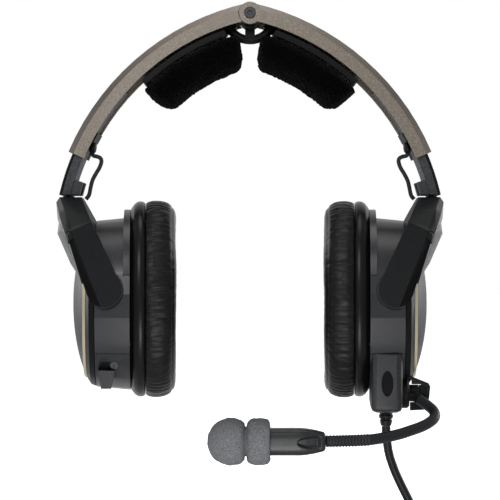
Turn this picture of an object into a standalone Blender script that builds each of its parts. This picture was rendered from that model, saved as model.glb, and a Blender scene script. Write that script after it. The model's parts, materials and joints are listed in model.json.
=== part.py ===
"""Aviation headset with a hinged head band, sliding yokes, swivelling ear cups and a boom microphone.

Sizes are in millimetres and degrees. MM turns them into Blender's metres when an object is made.
The origin is the crown of the head that wears the set: X runs to the wearer's left, Y to the back of
the head and Z up. The left side (+X) is modelled first and the right side is its mirror image.
"""

import math

import bmesh
import bpy
from mathutils import Matrix, Vector

MM = 0.001
GAP = 0.3  # running and seating gap between neighbouring pieces

# Head band: two channel-shaped arms that open at a hinge over the crown
ARM_CENTRE = (-26.4, -91.3)  # X and Z of the left arm's arc centre
ARM_RADIUS = 128.0
HINGE_DEPTH = 5.648  # from the arms' outer surface over the crown down to the hinge
HINGE_Z = ARM_CENTRE[1] + math.sqrt(ARM_RADIUS ** 2 - ARM_CENTRE[0] ** 2) - HINGE_DEPTH
ARM_DEPTH = 8.7
ARM_HALF_WIDTH = 11.0
ARM_WEB = 1.7
ARM_WALL = 1.6
ARM_CHAMFER = (3.0, 2.5)  # along the radius and along Y
ARM_INNER_CHAMFER = (2.2, 1.7)
ARM_END = 23.0
KNUCKLE_RADIUS = 5.6
INNER_LUG_RADIUS = 5.0
INNER_LUG_THICK = 2.0
NECK_LENGTH = 12.0
NECK_HALF_HEIGHT = 2.5
BOLT_RADIUS = 1.6
BOLT_HEAD_RADIUS = 2.7
BOLT_HEAD_THICK = 1.2
HEX_SOCKET = 1.3
SEAT_DEPTH = 1.0
SPRING_WIRE = 0.6
SPRING_RADIUS = 3.0
SPRING_TURNS = 3
SPRING_HALF_LENGTH = 3.1
SPRING_LEG = 7.0

# Wire bridge under the hinge and the sleeves that slide on it
BRIDGE_RADIUS = 12.0
BRIDGE_TUBE = 2.3
BRIDGE_SPAN = 72.0
BRIDGE_CHEEK_RADIUS = 3.6
BRIDGE_CHEEK = 2.2
BRIDGE_POST = 2.5
SLEEVE_WALL = 1.0
SLEEVE_FROM = 50.0
SLEEVE_TO = 74.0

# Pad carrier and head pad, about the arm's arc centre
CARRIER_THICK = 2.8
CARRIER_DROP = 1.6  # below the arm's inner edge
CARRIER_RADII = (ARM_RADIUS - ARM_DEPTH - CARRIER_DROP - CARRIER_THICK, ARM_RADIUS - ARM_DEPTH - CARRIER_DROP)
CARRIER_ANGLES = (46.7, 70.5)
CARRIER_HALF_WIDTH = ARM_HALF_WIDTH
CARRIER_POST_ANGLES = (56.0, 66.0)
CARRIER_POST_RADIUS = 2.5
PAD_THICK = 17.4
PAD_ANGLES = (45.5, 73.5)
PAD_HALF_WIDTH = 18.0

# Slider, its swivel pin and the wire that runs past it
SLIDER_THICK = 5.8
SLIDER_RADII = (ARM_RADIUS - ARM_WEB - GAP - SLIDER_THICK, ARM_RADIUS - ARM_WEB - GAP)
SLIDER_SIDE_GAP = 0.9
SLIDER_HALF_WIDTH = ARM_HALF_WIDTH - ARM_WALL - SLIDER_SIDE_GAP
SLIDER_CHAMFER = (1.6, 1.2)
SLIDER_TOP = 42.0
SLIDER_SPAN = 31.0
SLIDER_END_Z = -63.0
WEDGE_RISE = 4.2
WEDGE_TOP = 17.4
WEDGE_SPAN = 5.2
WEDGE_INSETS = (4.3, 0.5)  # inner and outer side, from the slider's side
SWIVEL_INSET = 0.9028  # from the slider's middle, towards the head
SLIDER_MIDDLE = sum(SLIDER_RADII) / 2.0
SWIVEL_X = (ARM_CENTRE[0] + math.sqrt(SLIDER_MIDDLE ** 2 - (SLIDER_END_Z - ARM_CENTRE[1]) ** 2)
            - SWIVEL_INSET)
SWIVEL_PIN_RADIUS = 1.5
SWIVEL_PIN_UP = 4.7
SWIVEL_PIN_DOWN = 7.5
SWIVEL_COLLAR = (3.0, 0.6)
GROMMET_OUTER = SLIDER_RADII[0] - GAP
GROMMET_BAR = (GROMMET_OUTER - 1.4, GROMMET_OUTER, 27.5, 30.0)  # radii, then angles
GROMMET_TONGUE = (GROMMET_OUTER - 3.8, GROMMET_OUTER, 22.9, 28.0)
GROMMET_HALF_WIDTH = 3.2
LOOP_WIRE_RADIUS = 1.1
LOOP_WIRE_ROUTE = (
    (78.7, -43.2), (77.4, -43.9), (76.5, -44.8), (76.4, -46.2), (77.6, -48.8), (79.4, -51.9),
    (80.6, -55.0), (81.2, -58.3), (81.4, -61.2), (82.2, -63.8), (83.6, -65.9),
)

# Yoke (in X and Z, in a frame whose swivel is at FRAME_X and that is not toed in)
FRAME_X = 92.5
TOE_IN = 4.0
PIVOT = (73.15, -110.2)
YOKE_TOP = -64.2
YOKE_ARM_FACE = 41.5
YOKE_ARM_BEVEL = 38.6
YOKE_ARM_BACK = 37.3
YOKE_END_RADIUS = 8.4
YOKE_END_FROM = 151.0
YOKE_END_FACE_TO = 279.0
YOKE_END_BACK_TO = 345.0
YOKE_INNER_TOP = (78.85, -77.2)
YOKE_FACE_TOP = (88.65, -81.6)
YOKE_BACK_TOP = (91.35, -81.9)
# Shoulder sections: Y, then inner top, both edges of the outer chamfer, outer and inner bottom
YOKE_SHOULDERS = (
    (41.2, (78.8, -77.6), (87.9, -81.3), (90.4, -83.6), (90.1, -86.0), (77.6, -82.5)),
    (38.0, (79.3, -76.6), (88.9, -79.6), (91.8, -83.0), (90.3, -88.0), (76.9, -83.0)),
    (24.0, (82.6, -69.8), (93.2, -70.7), (95.6, -73.4), (95.2, -79.5), (82.2, -75.2)),
    (10.0, (85.3, YOKE_TOP), (96.3, YOKE_TOP), (98.0, -66.8), (97.4, -75.0), (85.3, -71.5)),
)
WEB_THICK = 2.4
WEB_BEND_Z = -82.5
WEB_CREST_X = 97.9
WEB_CREST_SLOPE = 0.439
WEB_TOP_LEAN = 0.16
WEB_SIDE_SLOPE = 0.3025
WEB_LOW_Z = -97.0
WEB_ARCH_DROP = 10.0
WEB_HALF_SPAN = 38.2
PIN_RADIUS = 2.0
PIN_REACH = 2.2
PIN_HEAD = (4.0, 1.4)

# Ear cup: ovals round an axis along X
CUP_Z = -118.0
OVAL_POWER = 2.3
CUP_X = (60.8, 77.8)
CUP_HALF_HEIGHT = (43.9, 42.2)
CUP_HALF_DEPTH = (39.0, 37.6)
CUP_WALL = (2.5, 3.5)  # top and bottom, then front and back
CUP_SPLIT_Z = -141.3
RECESS_RADIUS = 9.6
RECESS_FACE = 36.9
RIM_SECTIONS = ((78.1, 42.0, 37.4), (80.6, 41.0, 36.6), (82.3, 38.6, 33.6))
RIM_HOLE = (34.0, 28.0)
TRIM_SECTION = (82.6, 84.0)
TRIM_OVAL = (37.6, 31.6)
TRIM_WIDTH = 1.5
DOME_OVAL = (35.8, 29.8)
DOME_BACK = 82.6
DOME_RIM = 83.3
DOME_PEAK = 90.0
DOME_WALL = 2.0
DOME_POWER = 0.85
FLANGE_X = (60.8, 64.0)
FLANGE_RISE = 4.0
FLANGE_ROOT = 0.8
FLANGE_END_Z = -103.5
RING_SECTIONS = ((53.4, 49.4, 38.4), (55.2, 50.0, 38.9), (57.6, 49.4, 38.3), (60.5, 46.2, 36.2))
RING_HOLE = (40.0, 30.0)
BAFFLE_X = (53.4, 56.2)
BAFFLE_HOLE = 21.0
DRIVER_RADIUS = 20.6
DRIVER_X = (54.0, 57.4, 66.0)
BOARD_X = (68.0, 69.6)
BOARD_HALF = (22.0, 16.0)
CUSHION_Z = -115.7
CUSHION_X = (38.3, 53.1)
CUSHION_HALF = (49.8, 39.0)
CUSHION_HOLE = (30.5, 19.5)
SCRIM_X = (51.7, 53.1)
SCRIM_OVAL = (30.0, 19.0)

BOARD_CHIPS = ((-15.0, 4.0), (2.0, 6.0), (14.0, 3.0))  # Z from the middle, then half size

# Lower cover of the right cup
TAB = ((68.1, -149.6), (76.4, -149.4), (74.7, -158.3), (69.8, -158.3))
TAB_Y = (-33.5, -24.5)
COVER_SCREW = (68.4, -147.2, 1.9)
COVER_SCREW_Y = (28.9, 30.3)

# Boom and cable module under the left cup
MODULE_X = (60.9, 76.6)
MODULE_Y = (-34.6, 4.0)
MODULE_Z = (-170.2, -139.0)
MODULE_EDGE = 3.0
MODULE_DIMPLE = (69.1, -155.7, 2.85, 6.25, 1.4)
HUB_Y = -15.0
HUB_Z = -162.2
HUB_RADIUS = 7.6
HUB_X = (76.9, 80.4)
HUB_STEM = (4.2, 85.0)
HUB_SOCKET_RADIUS = 2.6
HUB_SOCKET_ROOT = (-4.2, -0.8)  # Y and Z from the hub's axis
WING_X = (85.3, 89.4)
WING_SPAN = 8.6
WING_HALF_THICK = 1.4
# Upper and lower wing (X from the nut's near face, Z from its axis)
WING_UPPER = (
    (-3.6, 4.5), (-3.6, 8.2), (-1.9, 7.6), (4.9, 4.9), (5.6, 3.5), (5.0, -3.0), (1.0, -3.0), (1.0, 4.5),
)
WING_LOWER = ((0.6, -1.0), (0.4, -4.5), (-4.4, -4.6), (-4.4, -8.6), (2.6, -8.2), (3.6, -1.0))
BOOM_RADIUS = 2.75
BOOM_ROUTE = (
    (83.6, -21.6, -164.6), (85.6, -23.4, -166.0), (87.7, -25.6, -167.5), (89.5, -28.3, -169.2),
    (90.0, -31.5, -171.0), (88.7, -34.7, -172.7), (85.8, -37.6, -174.3), (81.6, -40.5, -175.8),
    (76.9, -43.1, -177.0), (71.9, -45.6, -178.2), (66.8, -47.8, -179.1), (61.8, -49.6, -179.8),
    (57.2, -51.1, -180.2),
)
BEND = (56.9, -51.2, -180.25)
TIP_ROUTE = ((56.9, -51.2, -180.25), (52.0, -52.4, -180.4), (46.0, -53.5, -180.45), (35.8, -54.8, -180.5))
MIC_Z = -180.6
MIC_Y = -55.0
MIC_X = (9.6, 35.4)
MIC_HALF = (5.0, 6.6)
CAPSULE = (4.6, -6.0, 9.2)
SCREEN_X = (-20.2, 9.2)
SCREEN_RADIUS = 11.3
SCREEN_GROOVE_X = (-2.4, 10.0)
SCREEN_BORE = 5.0
RELIEF_X = 69.0
RELIEF_RADII = (3.9, 3.7, 2.6)
RELIEF_LENGTH = 8.0

# Cable: hangs from the relief, and the rest of it is wound in a tied coil
CABLE_RADIUS = 2.2
CABLE_ROUTE = (
    (68.0, -13.3, -178.9), (68.2, -13.3, -183.5), (68.7, -13.4, -188.0), (69.5, -13.6, -192.8),
    (71.0, -13.8, -197.6), (73.1, -14.1, -203.0), (75.8, -14.5, -208.8), (78.8, -14.8, -214.8),
    (82.0, -15.0, -221.4), (85.0, -15.0, -228.4),
)
COIL_CENTRE = (61.9, -15.0, -256.8)
COIL_RADIUS = 27.0
COIL_HALF = 6.8
TIE_ANGLE = 150.0
TIE_HALF_WIDTH = 3.2
TIE_THICK = 1.0
TAIL_ROUTE = ((88.9, -24.4, -259.0), (89.4, -24.9, -263.5), (89.7, -25.2, -268.0), (89.8, -25.2, -272.5))
PLUG_TOP = -272.8
PLUG_BOOT = (2.5, 4.2, 12.0)
PLUG_GRIP = (6.2, 22.0)
PLUG_NOSE = (5.0, 9.0)

SIDES = {"left": 1.0, "right": -1.0}


# Mesh tools --------------------------------------------------------------------------------------

def skin(rings, loop=False):
    """Join rings of equally many points into one closed shell, capped unless it closes on itself."""
    bm = bmesh.new()
    rows = [[bm.verts.new(point) for point in ring] for ring in rings]
    pairs = list(zip(rows, rows[1:])) + ([(rows[-1], rows[0])] if loop else [])
    for low, high in pairs:
        for i in range(len(low)):
            j = (i + 1) % len(low)
            bm.faces.new((low[i], low[j], high[j], high[i]))
    if not loop:
        bm.faces.new(rows[0])
        bm.faces.new(rows[-1])
    bmesh.ops.recalc_face_normals(bm, faces=bm.faces)
    return bm


def lathe(profile, origin, axis, steps=20, loop=False):
    """Turn (radius, height) points round an axis through origin."""
    turn = Vector(axis).normalized().to_track_quat("Z", "Y").to_matrix().to_4x4()
    turn.translation = Vector(origin)
    rings = []
    for radius, height in profile:
        ring = []
        for i in range(steps):
            angle = 2.0 * math.pi * i / steps
            ring.append(turn @ Vector((radius * math.cos(angle), radius * math.sin(angle), height)))
        rings.append(ring)
    return skin(rings, loop)


def box(low, high):
    bm = bmesh.new()
    bmesh.ops.create_cube(bm, size=1.0)
    size = Vector(high) - Vector(low)
    middle = (Vector(high) + Vector(low)) / 2.0
    bmesh.ops.scale(bm, vec=size, verts=bm.verts)
    bmesh.ops.translate(bm, vec=middle, verts=bm.verts)
    return bm


def prism(outline, y_low, y_high):
    """Extrude an outline in X and Z between two Y values."""
    return skin([[(x, y, z) for x, z in outline] for y in (y_low, y_high)])


def polar(radius, angle):
    """Point in X and Z at a radius and angle about the left arm's arc centre."""
    turn = math.radians(angle)
    return ARM_CENTRE[0] + radius * math.cos(turn), ARM_CENTRE[1] + radius * math.sin(turn)


def arc_sweep(profile, angle_from, angle_to, steps):
    """Sweep a (radius, Y) section about the arm's arc centre."""
    rings = []
    for i in range(steps + 1):
        angle = angle_from + (angle_to - angle_from) * i / steps
        ring = []
        for radius, y in profile:
            x, z = polar(radius, angle)
            ring.append((x, y, z))
        rings.append(ring)
    return skin(rings)


def hinge_sweep(profile, angle_from, angle_to, steps, loop=False):
    """Sweep a (radius, Y) section about the hinge, with angles counted from straight down to +X."""
    rings = []
    for i in range(steps + 1):
        turn = math.radians(angle_from + (angle_to - angle_from) * i / steps)
        across, up = math.sin(turn), math.cos(turn)
        rings.append([(radius * across, y, HINGE_Z - radius * up) for radius, y in profile])
    return skin(rings, loop)


def round_section(centre, radius, sides):
    """Circle in (radius, Y) about a point at the given radius."""
    turns = [2.0 * math.pi * i / sides for i in range(sides)]
    return [(centre + radius * math.cos(turn), radius * math.sin(turn)) for turn in turns]


def oval(x, half_height, half_depth, z=CUP_Z, sides=24):
    """Rounded oval in the plane at x."""
    ring = []
    for i in range(sides):
        turn = 2.0 * math.pi * (i + 0.5) / sides
        across, up = math.cos(turn), math.sin(turn)
        grow = (abs(across) ** OVAL_POWER + abs(up) ** OVAL_POWER) ** (-1.0 / OVAL_POWER)
        ring.append((x, half_depth * across * grow, z + half_height * up * grow))
    return ring


def smooth_route(points, spacing):
    """Points at even spacing along a smooth curve through the given ones."""
    points = [Vector(point) for point in points]
    points = [2 * points[0] - points[1]] + points + [2 * points[-1] - points[-2]]
    fine = []
    for a, b, c, d in zip(points, points[1:], points[2:], points[3:]):
        for i in range(20):
            t = i / 20.0
            fine.append(0.5 * ((2 * b) + (c - a) * t + (2 * a - 5 * b + 4 * c - d) * t * t
                               + (3 * b - a - 3 * c + d) * t ** 3))
    fine.append(points[-2])
    total = sum((q - p).length for p, q in zip(fine, fine[1:]))
    count = max(2, round(total / spacing))
    route, walked, wanted = [fine[0]], 0.0, total / count
    for p, q in zip(fine, fine[1:]):
        step = (q - p).length
        while walked + step >= wanted - 1e-9 and len(route) < count:
            route.append(p.lerp(q, (wanted - walked) / step))
            wanted += total / count
        walked += step
    return route + [fine[-1]]


def combine(bm, other, operation="UNION"):
    """Exact boolean of two closed meshes, which are used up."""
    objects = []
    for part in (bm, other):
        mesh = bpy.data.meshes.new("work")
        part.to_mesh(mesh)
        part.free()
        work = bpy.data.objects.new("work", mesh)
        bpy.context.collection.objects.link(work)
        objects.append(work)
    modifier = objects[0].modifiers.new("combine", "BOOLEAN")
    modifier.object = objects[1]
    modifier.operation = operation
    modifier.solver = "EXACT"
    bpy.context.view_layer.update()
    result = bmesh.new()
    result.from_object(objects[0], bpy.context.evaluated_depsgraph_get())
    for work in objects:
        mesh = work.data
        bpy.data.objects.remove(work)
        bpy.data.meshes.remove(mesh)
    bmesh.ops.remove_doubles(result, verts=result.verts, dist=0.0005)
    bmesh.ops.dissolve_degenerate(result, edges=result.edges, dist=0.0005)
    return result


def cut(bm, other):
    return combine(bm, other, "DIFFERENCE")


def join(*parts):
    """Put separate solids into one mesh."""
    whole = bmesh.new()
    for part in parts:
        mesh = bpy.data.meshes.new("work")
        part.to_mesh(mesh)
        part.free()
        whole.from_mesh(mesh)
        bpy.data.meshes.remove(mesh)
    return whole


# Materials and objects ---------------------------------------------------------------------------

def linear(channel):
    return channel / 12.92 if channel <= 0.04045 else ((channel + 0.055) / 1.055) ** 2.4


def material(name, colour, roughness, metallic=0.0):
    """Principled material from a six-digit sRGB colour."""
    made = bpy.data.materials.new(name)
    made.use_nodes = True
    shader = made.node_tree.nodes["Principled BSDF"]
    rgb = [linear(int(colour[i:i + 2], 16) / 255.0) for i in (0, 2, 4)]
    shader.inputs["Base Color"].default_value = (*rgb, 1.0)
    shader.inputs["Roughness"].default_value = roughness
    shader.inputs["Metallic"].default_value = metallic
    return made


def node(name, bm, look, origin=(0.0, 0.0, 0.0), parent=None, mirrored=False):
    """Make one object with its origin on its joint, from a mesh in millimetres."""
    origin = Vector(origin)
    if mirrored:
        bmesh.ops.scale(bm, vec=(-1.0, 1.0, 1.0), verts=bm.verts)
        bmesh.ops.reverse_faces(bm, faces=bm.faces)
        origin.x = -origin.x
    bmesh.ops.translate(bm, vec=-origin, verts=bm.verts)
    bmesh.ops.scale(bm, vec=(MM, MM, MM), verts=bm.verts)
    mesh = bpy.data.meshes.new(name)
    bm.to_mesh(mesh)
    bm.free()
    mesh.shade_smooth()
    mesh.set_sharp_from_angle(angle=math.radians(35.0))
    made = bpy.data.objects.new(name, mesh)
    made.data.materials.append(material(name, *look))
    bpy.context.collection.objects.link(made)
    made.location = origin * MM
    if parent:
        made.parent = parent
        made.location -= Vector(parent["rest"])
    return made


def carrier_empty(name, origin, modelled_at, toe):
    """Empty on a joint, turned about Z by the toe-in angle, for pieces modelled round another point."""
    made = bpy.data.objects.new(name, None)
    bpy.context.collection.objects.link(made)
    made.location = Vector(origin) * MM
    made.rotation_euler.z = math.radians(toe)
    made["rest"] = list(Vector(modelled_at) * MM)
    made["toe"] = toe
    return made


def untoed(point):
    """Where a point of the finished left side lies before the cup is toed in."""
    turn = Matrix.Rotation(math.radians(TOE_IN), 4, "Z")
    swivel = Vector((FRAME_X, 0.0, 0.0))
    return turn @ (Vector(point) - swivel) + swivel


PAINT = ("8E8579", 0.42, 0.35)
DARK_PAINT = ("5A5048", 0.4, 0.4)
BLACK_PLASTIC = ("1C1D1F", 0.5)
GREY_PLASTIC = ("2A2B2D", 0.45)
STEEL = ("3A3B3D", 0.35, 0.9)
BRONZE = ("9A927F", 0.35, 0.6)
LEATHER = ("0C0C0D", 0.42)
FLEECE = ("050505", 0.95)
RUBBER = ("151617", 0.6)
FOAM = ("6E6F72", 0.95)
CIRCUIT = ("1E4A2C", 0.5)


# Head band ---------------------------------------------------------------------------------------

def arm_section():
    """Channel section, open towards the head, as (radius, Y) points."""
    inner, web = ARM_RADIUS - ARM_DEPTH, ARM_RADIUS - ARM_WEB
    side, wall = ARM_HALF_WIDTH, ARM_HALF_WIDTH - ARM_WALL
    half = [
        (inner, side), (ARM_RADIUS - ARM_CHAMFER[0], side), (ARM_RADIUS, side - ARM_CHAMFER[1]),
    ]
    hollow = [
        (web, wall - ARM_INNER_CHAMFER[1]), (web - ARM_INNER_CHAMFER[0], wall), (inner, wall),
    ]
    front = [(radius, -y) for radius, y in half]
    back_hollow = [(radius, -y) for radius, y in hollow]
    return front + half[::-1] + hollow[::-1] + back_hollow


def hinge_disc(radius, y_low, y_high, steps=24):
    return lathe([(radius, y_low), (radius, y_high)], (0.0, 0.0, HINGE_Z), (0.0, 1.0, 0.0), steps)


def arm_sweep():
    top = math.degrees(math.acos((GAP - ARM_CENTRE[0]) / ARM_RADIUS))
    return arc_sweep(arm_section(), ARM_END, top, 15)


def left_arm():
    """Arm that carries the outer knuckles, one at the front and one at the back."""
    wall = ARM_HALF_WIDTH - ARM_WALL
    arm = cut(arm_sweep(), hinge_disc(KNUCKLE_RADIUS + GAP, -wall, wall))
    for side in (-1.0, 1.0):
        y_low, y_high = sorted((side * wall, side * ARM_HALF_WIDTH))
        arm = combine(arm, hinge_disc(KNUCKLE_RADIUS, y_low, y_high))
        seat_low, seat_high = sorted((side * (ARM_HALF_WIDTH - SEAT_DEPTH), side * (ARM_HALF_WIDTH + 1.0)))
        arm = cut(arm, hinge_disc(BOLT_HEAD_RADIUS + GAP, seat_low, seat_high, 24))
    return cut(arm, hinge_disc(BOLT_RADIUS + GAP, -ARM_HALF_WIDTH - 1.0, ARM_HALF_WIDTH + 1.0, 20))


def right_arm():
    """Arm with the inner lugs, which sit between the other arm's knuckles."""
    reach = ARM_HALF_WIDTH + 1.0
    arm = cut(arm_sweep(), hinge_disc(KNUCKLE_RADIUS + GAP, -reach, reach))
    outer = ARM_HALF_WIDTH - ARM_WALL - GAP
    inner = outer - INNER_LUG_THICK
    far_x, far_z = NECK_LENGTH, polar(ARM_RADIUS - ARM_DEPTH / 2.0, 71.9)[1]
    neck = [
        (0.0, HINGE_Z + NECK_HALF_HEIGHT), (0.0, HINGE_Z - NECK_HALF_HEIGHT),
        (far_x, far_z - NECK_HALF_HEIGHT), (far_x, far_z + NECK_HALF_HEIGHT),
    ]
    root_x = KNUCKLE_RADIUS + 3.0 * GAP
    root = [
        (root_x, HINGE_Z - NECK_HALF_HEIGHT), (far_x, far_z - NECK_HALF_HEIGHT),
        (far_x, far_z + NECK_HALF_HEIGHT), (root_x, HINGE_Z + NECK_HALF_HEIGHT / 2.0),
    ]
    for side in (-1.0, 1.0):
        y_low, y_high = sorted((side * inner, side * outer))
        lug = combine(hinge_disc(INNER_LUG_RADIUS, y_low, y_high), prism(neck, y_low, y_high))
        root_low, root_high = sorted((side * (inner + 0.2), side * (ARM_HALF_WIDTH - ARM_WALL / 2.0)))
        arm = combine(arm, combine(lug, prism(root, root_low, root_high)))
    return cut(arm, hinge_disc(BOLT_RADIUS + GAP, -reach, reach, 20))


def hinge_bolt():
    head = ARM_HALF_WIDTH - SEAT_DEPTH + GAP
    end = head + BOLT_HEAD_THICK
    profile = [(BOLT_HEAD_RADIUS, -end), (BOLT_HEAD_RADIUS, -head), (BOLT_RADIUS, -head), (BOLT_RADIUS, end)]
    bolt = lathe(profile, (0.0, 0.0, HINGE_Z), (0.0, 1.0, 0.0), 24)
    depth = [(HEX_SOCKET, -end - 1.0), (HEX_SOCKET, -end + 0.9)]
    socket = lathe(depth, (0.0, 0.0, HINGE_Z), (0.0, 1.0, 0.0), 6)
    return cut(bolt, socket)


def hinge_nut():
    seat = ARM_HALF_WIDTH - SEAT_DEPTH + GAP
    face = seat + BOLT_HEAD_THICK
    bore = BOLT_RADIUS + GAP
    profile = [(bore, seat), (BOLT_HEAD_RADIUS, seat), (BOLT_HEAD_RADIUS, face), (bore, face)]
    return lathe(profile, (0.0, 0.0, HINGE_Z), (0.0, 1.0, 0.0), 12, loop=True)


def torsion_spring():
    """Closed coil round the bolt, with one leg to each arm."""
    path = [Vector((-SPRING_LEG, -SPRING_HALF_LENGTH, HINGE_Z - SPRING_RADIUS))]
    count = SPRING_TURNS * 9
    for i in range(count + 1):
        turn = 2.0 * math.pi * i / 9.0
        y = SPRING_HALF_LENGTH * (2.0 * i / count - 1.0)
        path.append(Vector((SPRING_RADIUS * math.sin(turn), y, HINGE_Z - SPRING_RADIUS * math.cos(turn))))
    path.append(Vector((SPRING_LEG, SPRING_HALF_LENGTH, HINGE_Z - SPRING_RADIUS)))
    return tube(path, SPRING_WIRE, 5)


def tube(path, radius, sides, radii=None):
    """Round tube along a path."""
    path = [Vector(point) for point in path]
    rings = []
    up = Vector((0.0, 0.0, 1.0))
    for i, point in enumerate(path):
        ahead = (path[min(i + 1, len(path) - 1)] - path[max(i - 1, 0)]).normalized()
        if i == 0 and abs(ahead.z) > 0.9:
            up = Vector((0.0, 1.0, 0.0))
        across = up.cross(ahead).normalized()
        up = ahead.cross(across).normalized()
        size = radii[i] if radii else radius
        ring = []
        for k in range(sides):
            turn = 2.0 * math.pi * k / sides
            ring.append(point + size * (math.cos(turn) * across + math.sin(turn) * up))
        rings.append(ring)
    return skin(rings)


def head_bridge():
    """Curved wire guide concentric with the hinge, hung from the bolt by two cheeks."""
    outer = ARM_HALF_WIDTH - ARM_WALL - 2.0 * GAP - INNER_LUG_THICK - 0.1
    section = round_section(BRIDGE_RADIUS, BRIDGE_TUBE, 10)
    bridge = hinge_sweep(section, -BRIDGE_SPAN, BRIDGE_SPAN, 16)
    post_top = HINGE_Z - SPRING_RADIUS - SPRING_WIRE - 1.0
    beam = box((-BRIDGE_POST, -outer, post_top - 2.4), (BRIDGE_POST, outer, post_top))
    deep = BRIDGE_TUBE - 0.2
    stem = box((-BRIDGE_POST, -deep, HINGE_Z - BRIDGE_RADIUS), (BRIDGE_POST, deep, post_top - 1.0))
    bridge = combine(bridge, combine(beam, stem))
    for side in (-1.0, 1.0):
        y_low, y_high = sorted((side * outer, side * (outer - BRIDGE_CHEEK)))
        leg = box((-BRIDGE_POST + 0.1, y_low, post_top - 1.2), (BRIDGE_POST - 0.1, y_high, HINGE_Z))
        cheek = combine(hinge_disc(BRIDGE_CHEEK_RADIUS, y_low, y_high, 24), leg)
        bridge = combine(bridge, cheek)
    return cut(bridge, hinge_disc(BOLT_RADIUS + GAP, -outer - 1.0, outer + 1.0, 20))


def pad_carrier():
    """Curved strip above the head pad, with a sleeve on the wire bridge and two posts to the arm."""
    inner, outer = CARRIER_RADII
    half = CARRIER_HALF_WIDTH
    strip = arc_sweep([(inner, -half), (outer, -half), (outer, half), (inner, half)], *CARRIER_ANGLES, 10)
    reach = ARM_RADIUS - ARM_WEB - GAP
    for angle in CARRIER_POST_ANGLES:
        x, z = polar(outer - 0.6, angle)
        far_x, far_z = polar(reach, angle)
        axis = (far_x - x, 0.0, far_z - z)
        length = Vector(axis).length
        profile = [(CARRIER_POST_RADIUS, 0.0), (CARRIER_POST_RADIUS, length)]
        strip = combine(strip, lathe(profile, (x, 0.0, z), axis, 12))
    bore = BRIDGE_TUBE + GAP
    shell = bore + SLEEVE_WALL
    link = [(BRIDGE_RADIUS + bore + 0.3, -2.8), (BRIDGE_RADIUS + 7.5, -2.8),
            (BRIDGE_RADIUS + 7.5, 2.8), (BRIDGE_RADIUS + bore + 0.3, 2.8)]
    sleeve = hinge_sweep(round_section(BRIDGE_RADIUS, shell, 12), SLEEVE_FROM, SLEEVE_TO, 6)
    sleeve = combine(sleeve, hinge_sweep(link, SLEEVE_FROM - 1.0, SLEEVE_FROM + 12.0, 3))
    channel = hinge_sweep(round_section(BRIDGE_RADIUS, bore, 12), SLEEVE_FROM - 3.0, SLEEVE_TO + 3.0, 8)
    return combine(strip, cut(sleeve, channel))


def rounded_section(centre, half_radius, half_width, power=4.0, sides=16):
    """Rounded rectangle as (radius, Y) points."""
    ring = []
    for i in range(sides):
        turn = 2.0 * math.pi * (i + 0.5) / sides
        across, up = math.cos(turn), math.sin(turn)
        grow = (abs(across) ** power + abs(up) ** power) ** (-1.0 / power)
        ring.append((centre + half_radius * across * grow, half_width * up * grow))
    return ring


def head_pad():
    """Soft pad, a thick arc with rounded ends."""
    top = CARRIER_RADII[0] - GAP
    centre = top - PAD_THICK / 2.0
    rings = []
    shares = (0.0, 0.025, 0.08, 0.2, 0.35, 0.5, 0.65, 0.8, 0.92, 0.975, 1.0)
    for share in shares:
        angle = PAD_ANGLES[0] + (PAD_ANGLES[1] - PAD_ANGLES[0]) * share
        end = min(share, 1.0 - share)
        swell = 0.45 + 0.55 * min(1.0, end / 0.12) ** 0.5
        section = rounded_section(centre, PAD_THICK / 2.0 * swell, PAD_HALF_WIDTH * (0.4 + 0.6 * swell))
        ring = []
        for radius, y in section:
            x, z = polar(radius, angle)
            ring.append((x, y, z))
        rings.append(ring)
    return skin(rings)


def wire_grommet():
    """Clip between the channel's walls, with a tongue that lets the loop wire out."""
    low, high, start, end = GROMMET_BAR
    wall = ARM_HALF_WIDTH - ARM_WALL - GAP
    bar = arc_sweep([(low, -wall), (high, -wall), (high, wall), (low, wall)], start, end, 1)
    low, high, start, end = GROMMET_TONGUE
    half = GROMMET_HALF_WIDTH
    tongue = arc_sweep(rounded_section((low + high) / 2.0, (high - low) / 2.0, half, 3.0, 12), start, end, 3)
    return combine(bar, tongue)


# Slider and yoke ---------------------------------------------------------------------------------

def slider():
    inner, outer = SLIDER_RADII
    half = SLIDER_HALF_WIDTH
    slope, lean = SLIDER_CHAMFER
    section = [
        (inner, -half), (outer - slope, -half), (outer, lean - half),
        (outer, half - lean), (outer - slope, half), (inner, half),
    ]
    bar = arc_sweep(section, SLIDER_TOP - SLIDER_SPAN, SLIDER_TOP, 12)
    near, far = (half - inset for inset in WEDGE_INSETS)
    low = inner - WEDGE_RISE
    for y_low, y_high in ((-far, -near), (near, far)):
        wedge = [(low, y_low), (inner + 0.5, y_low), (inner + 0.5, y_high), (low, y_high)]
        bar = combine(bar, arc_sweep(wedge, WEDGE_TOP - WEDGE_SPAN, WEDGE_TOP, 2))
    below = SLIDER_END_Z - SLIDER_RADII[1]
    bar = cut(bar, box((0.0, -2.0 * half, below), (2.0 * SWIVEL_X, 2.0 * half, SLIDER_END_Z)))
    hole = SWIVEL_PIN_RADIUS + GAP
    profile = [(hole, SLIDER_END_Z - 1.0), (hole, SLIDER_END_Z + SWIVEL_PIN_UP + GAP)]
    return cut(bar, lathe(profile, (SWIVEL_X, 0.0, 0.0), (0.0, 0.0, 1.0), 16))


def swivel_pin():
    radius = SWIVEL_PIN_RADIUS
    collar, thick = SWIVEL_COLLAR
    middle = (SLIDER_END_Z + YOKE_TOP) / 2.0
    profile = [
        (radius, YOKE_TOP - SWIVEL_PIN_DOWN), (radius, middle - thick / 2.0),
        (collar, middle - thick / 2.0), (collar, middle + thick / 2.0),
        (radius, middle + thick / 2.0), (radius, SLIDER_END_Z + SWIVEL_PIN_UP),
    ]
    return lathe(profile, (FRAME_X, 0.0, 0.0), (0.0, 0.0, 1.0), 16)


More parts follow.
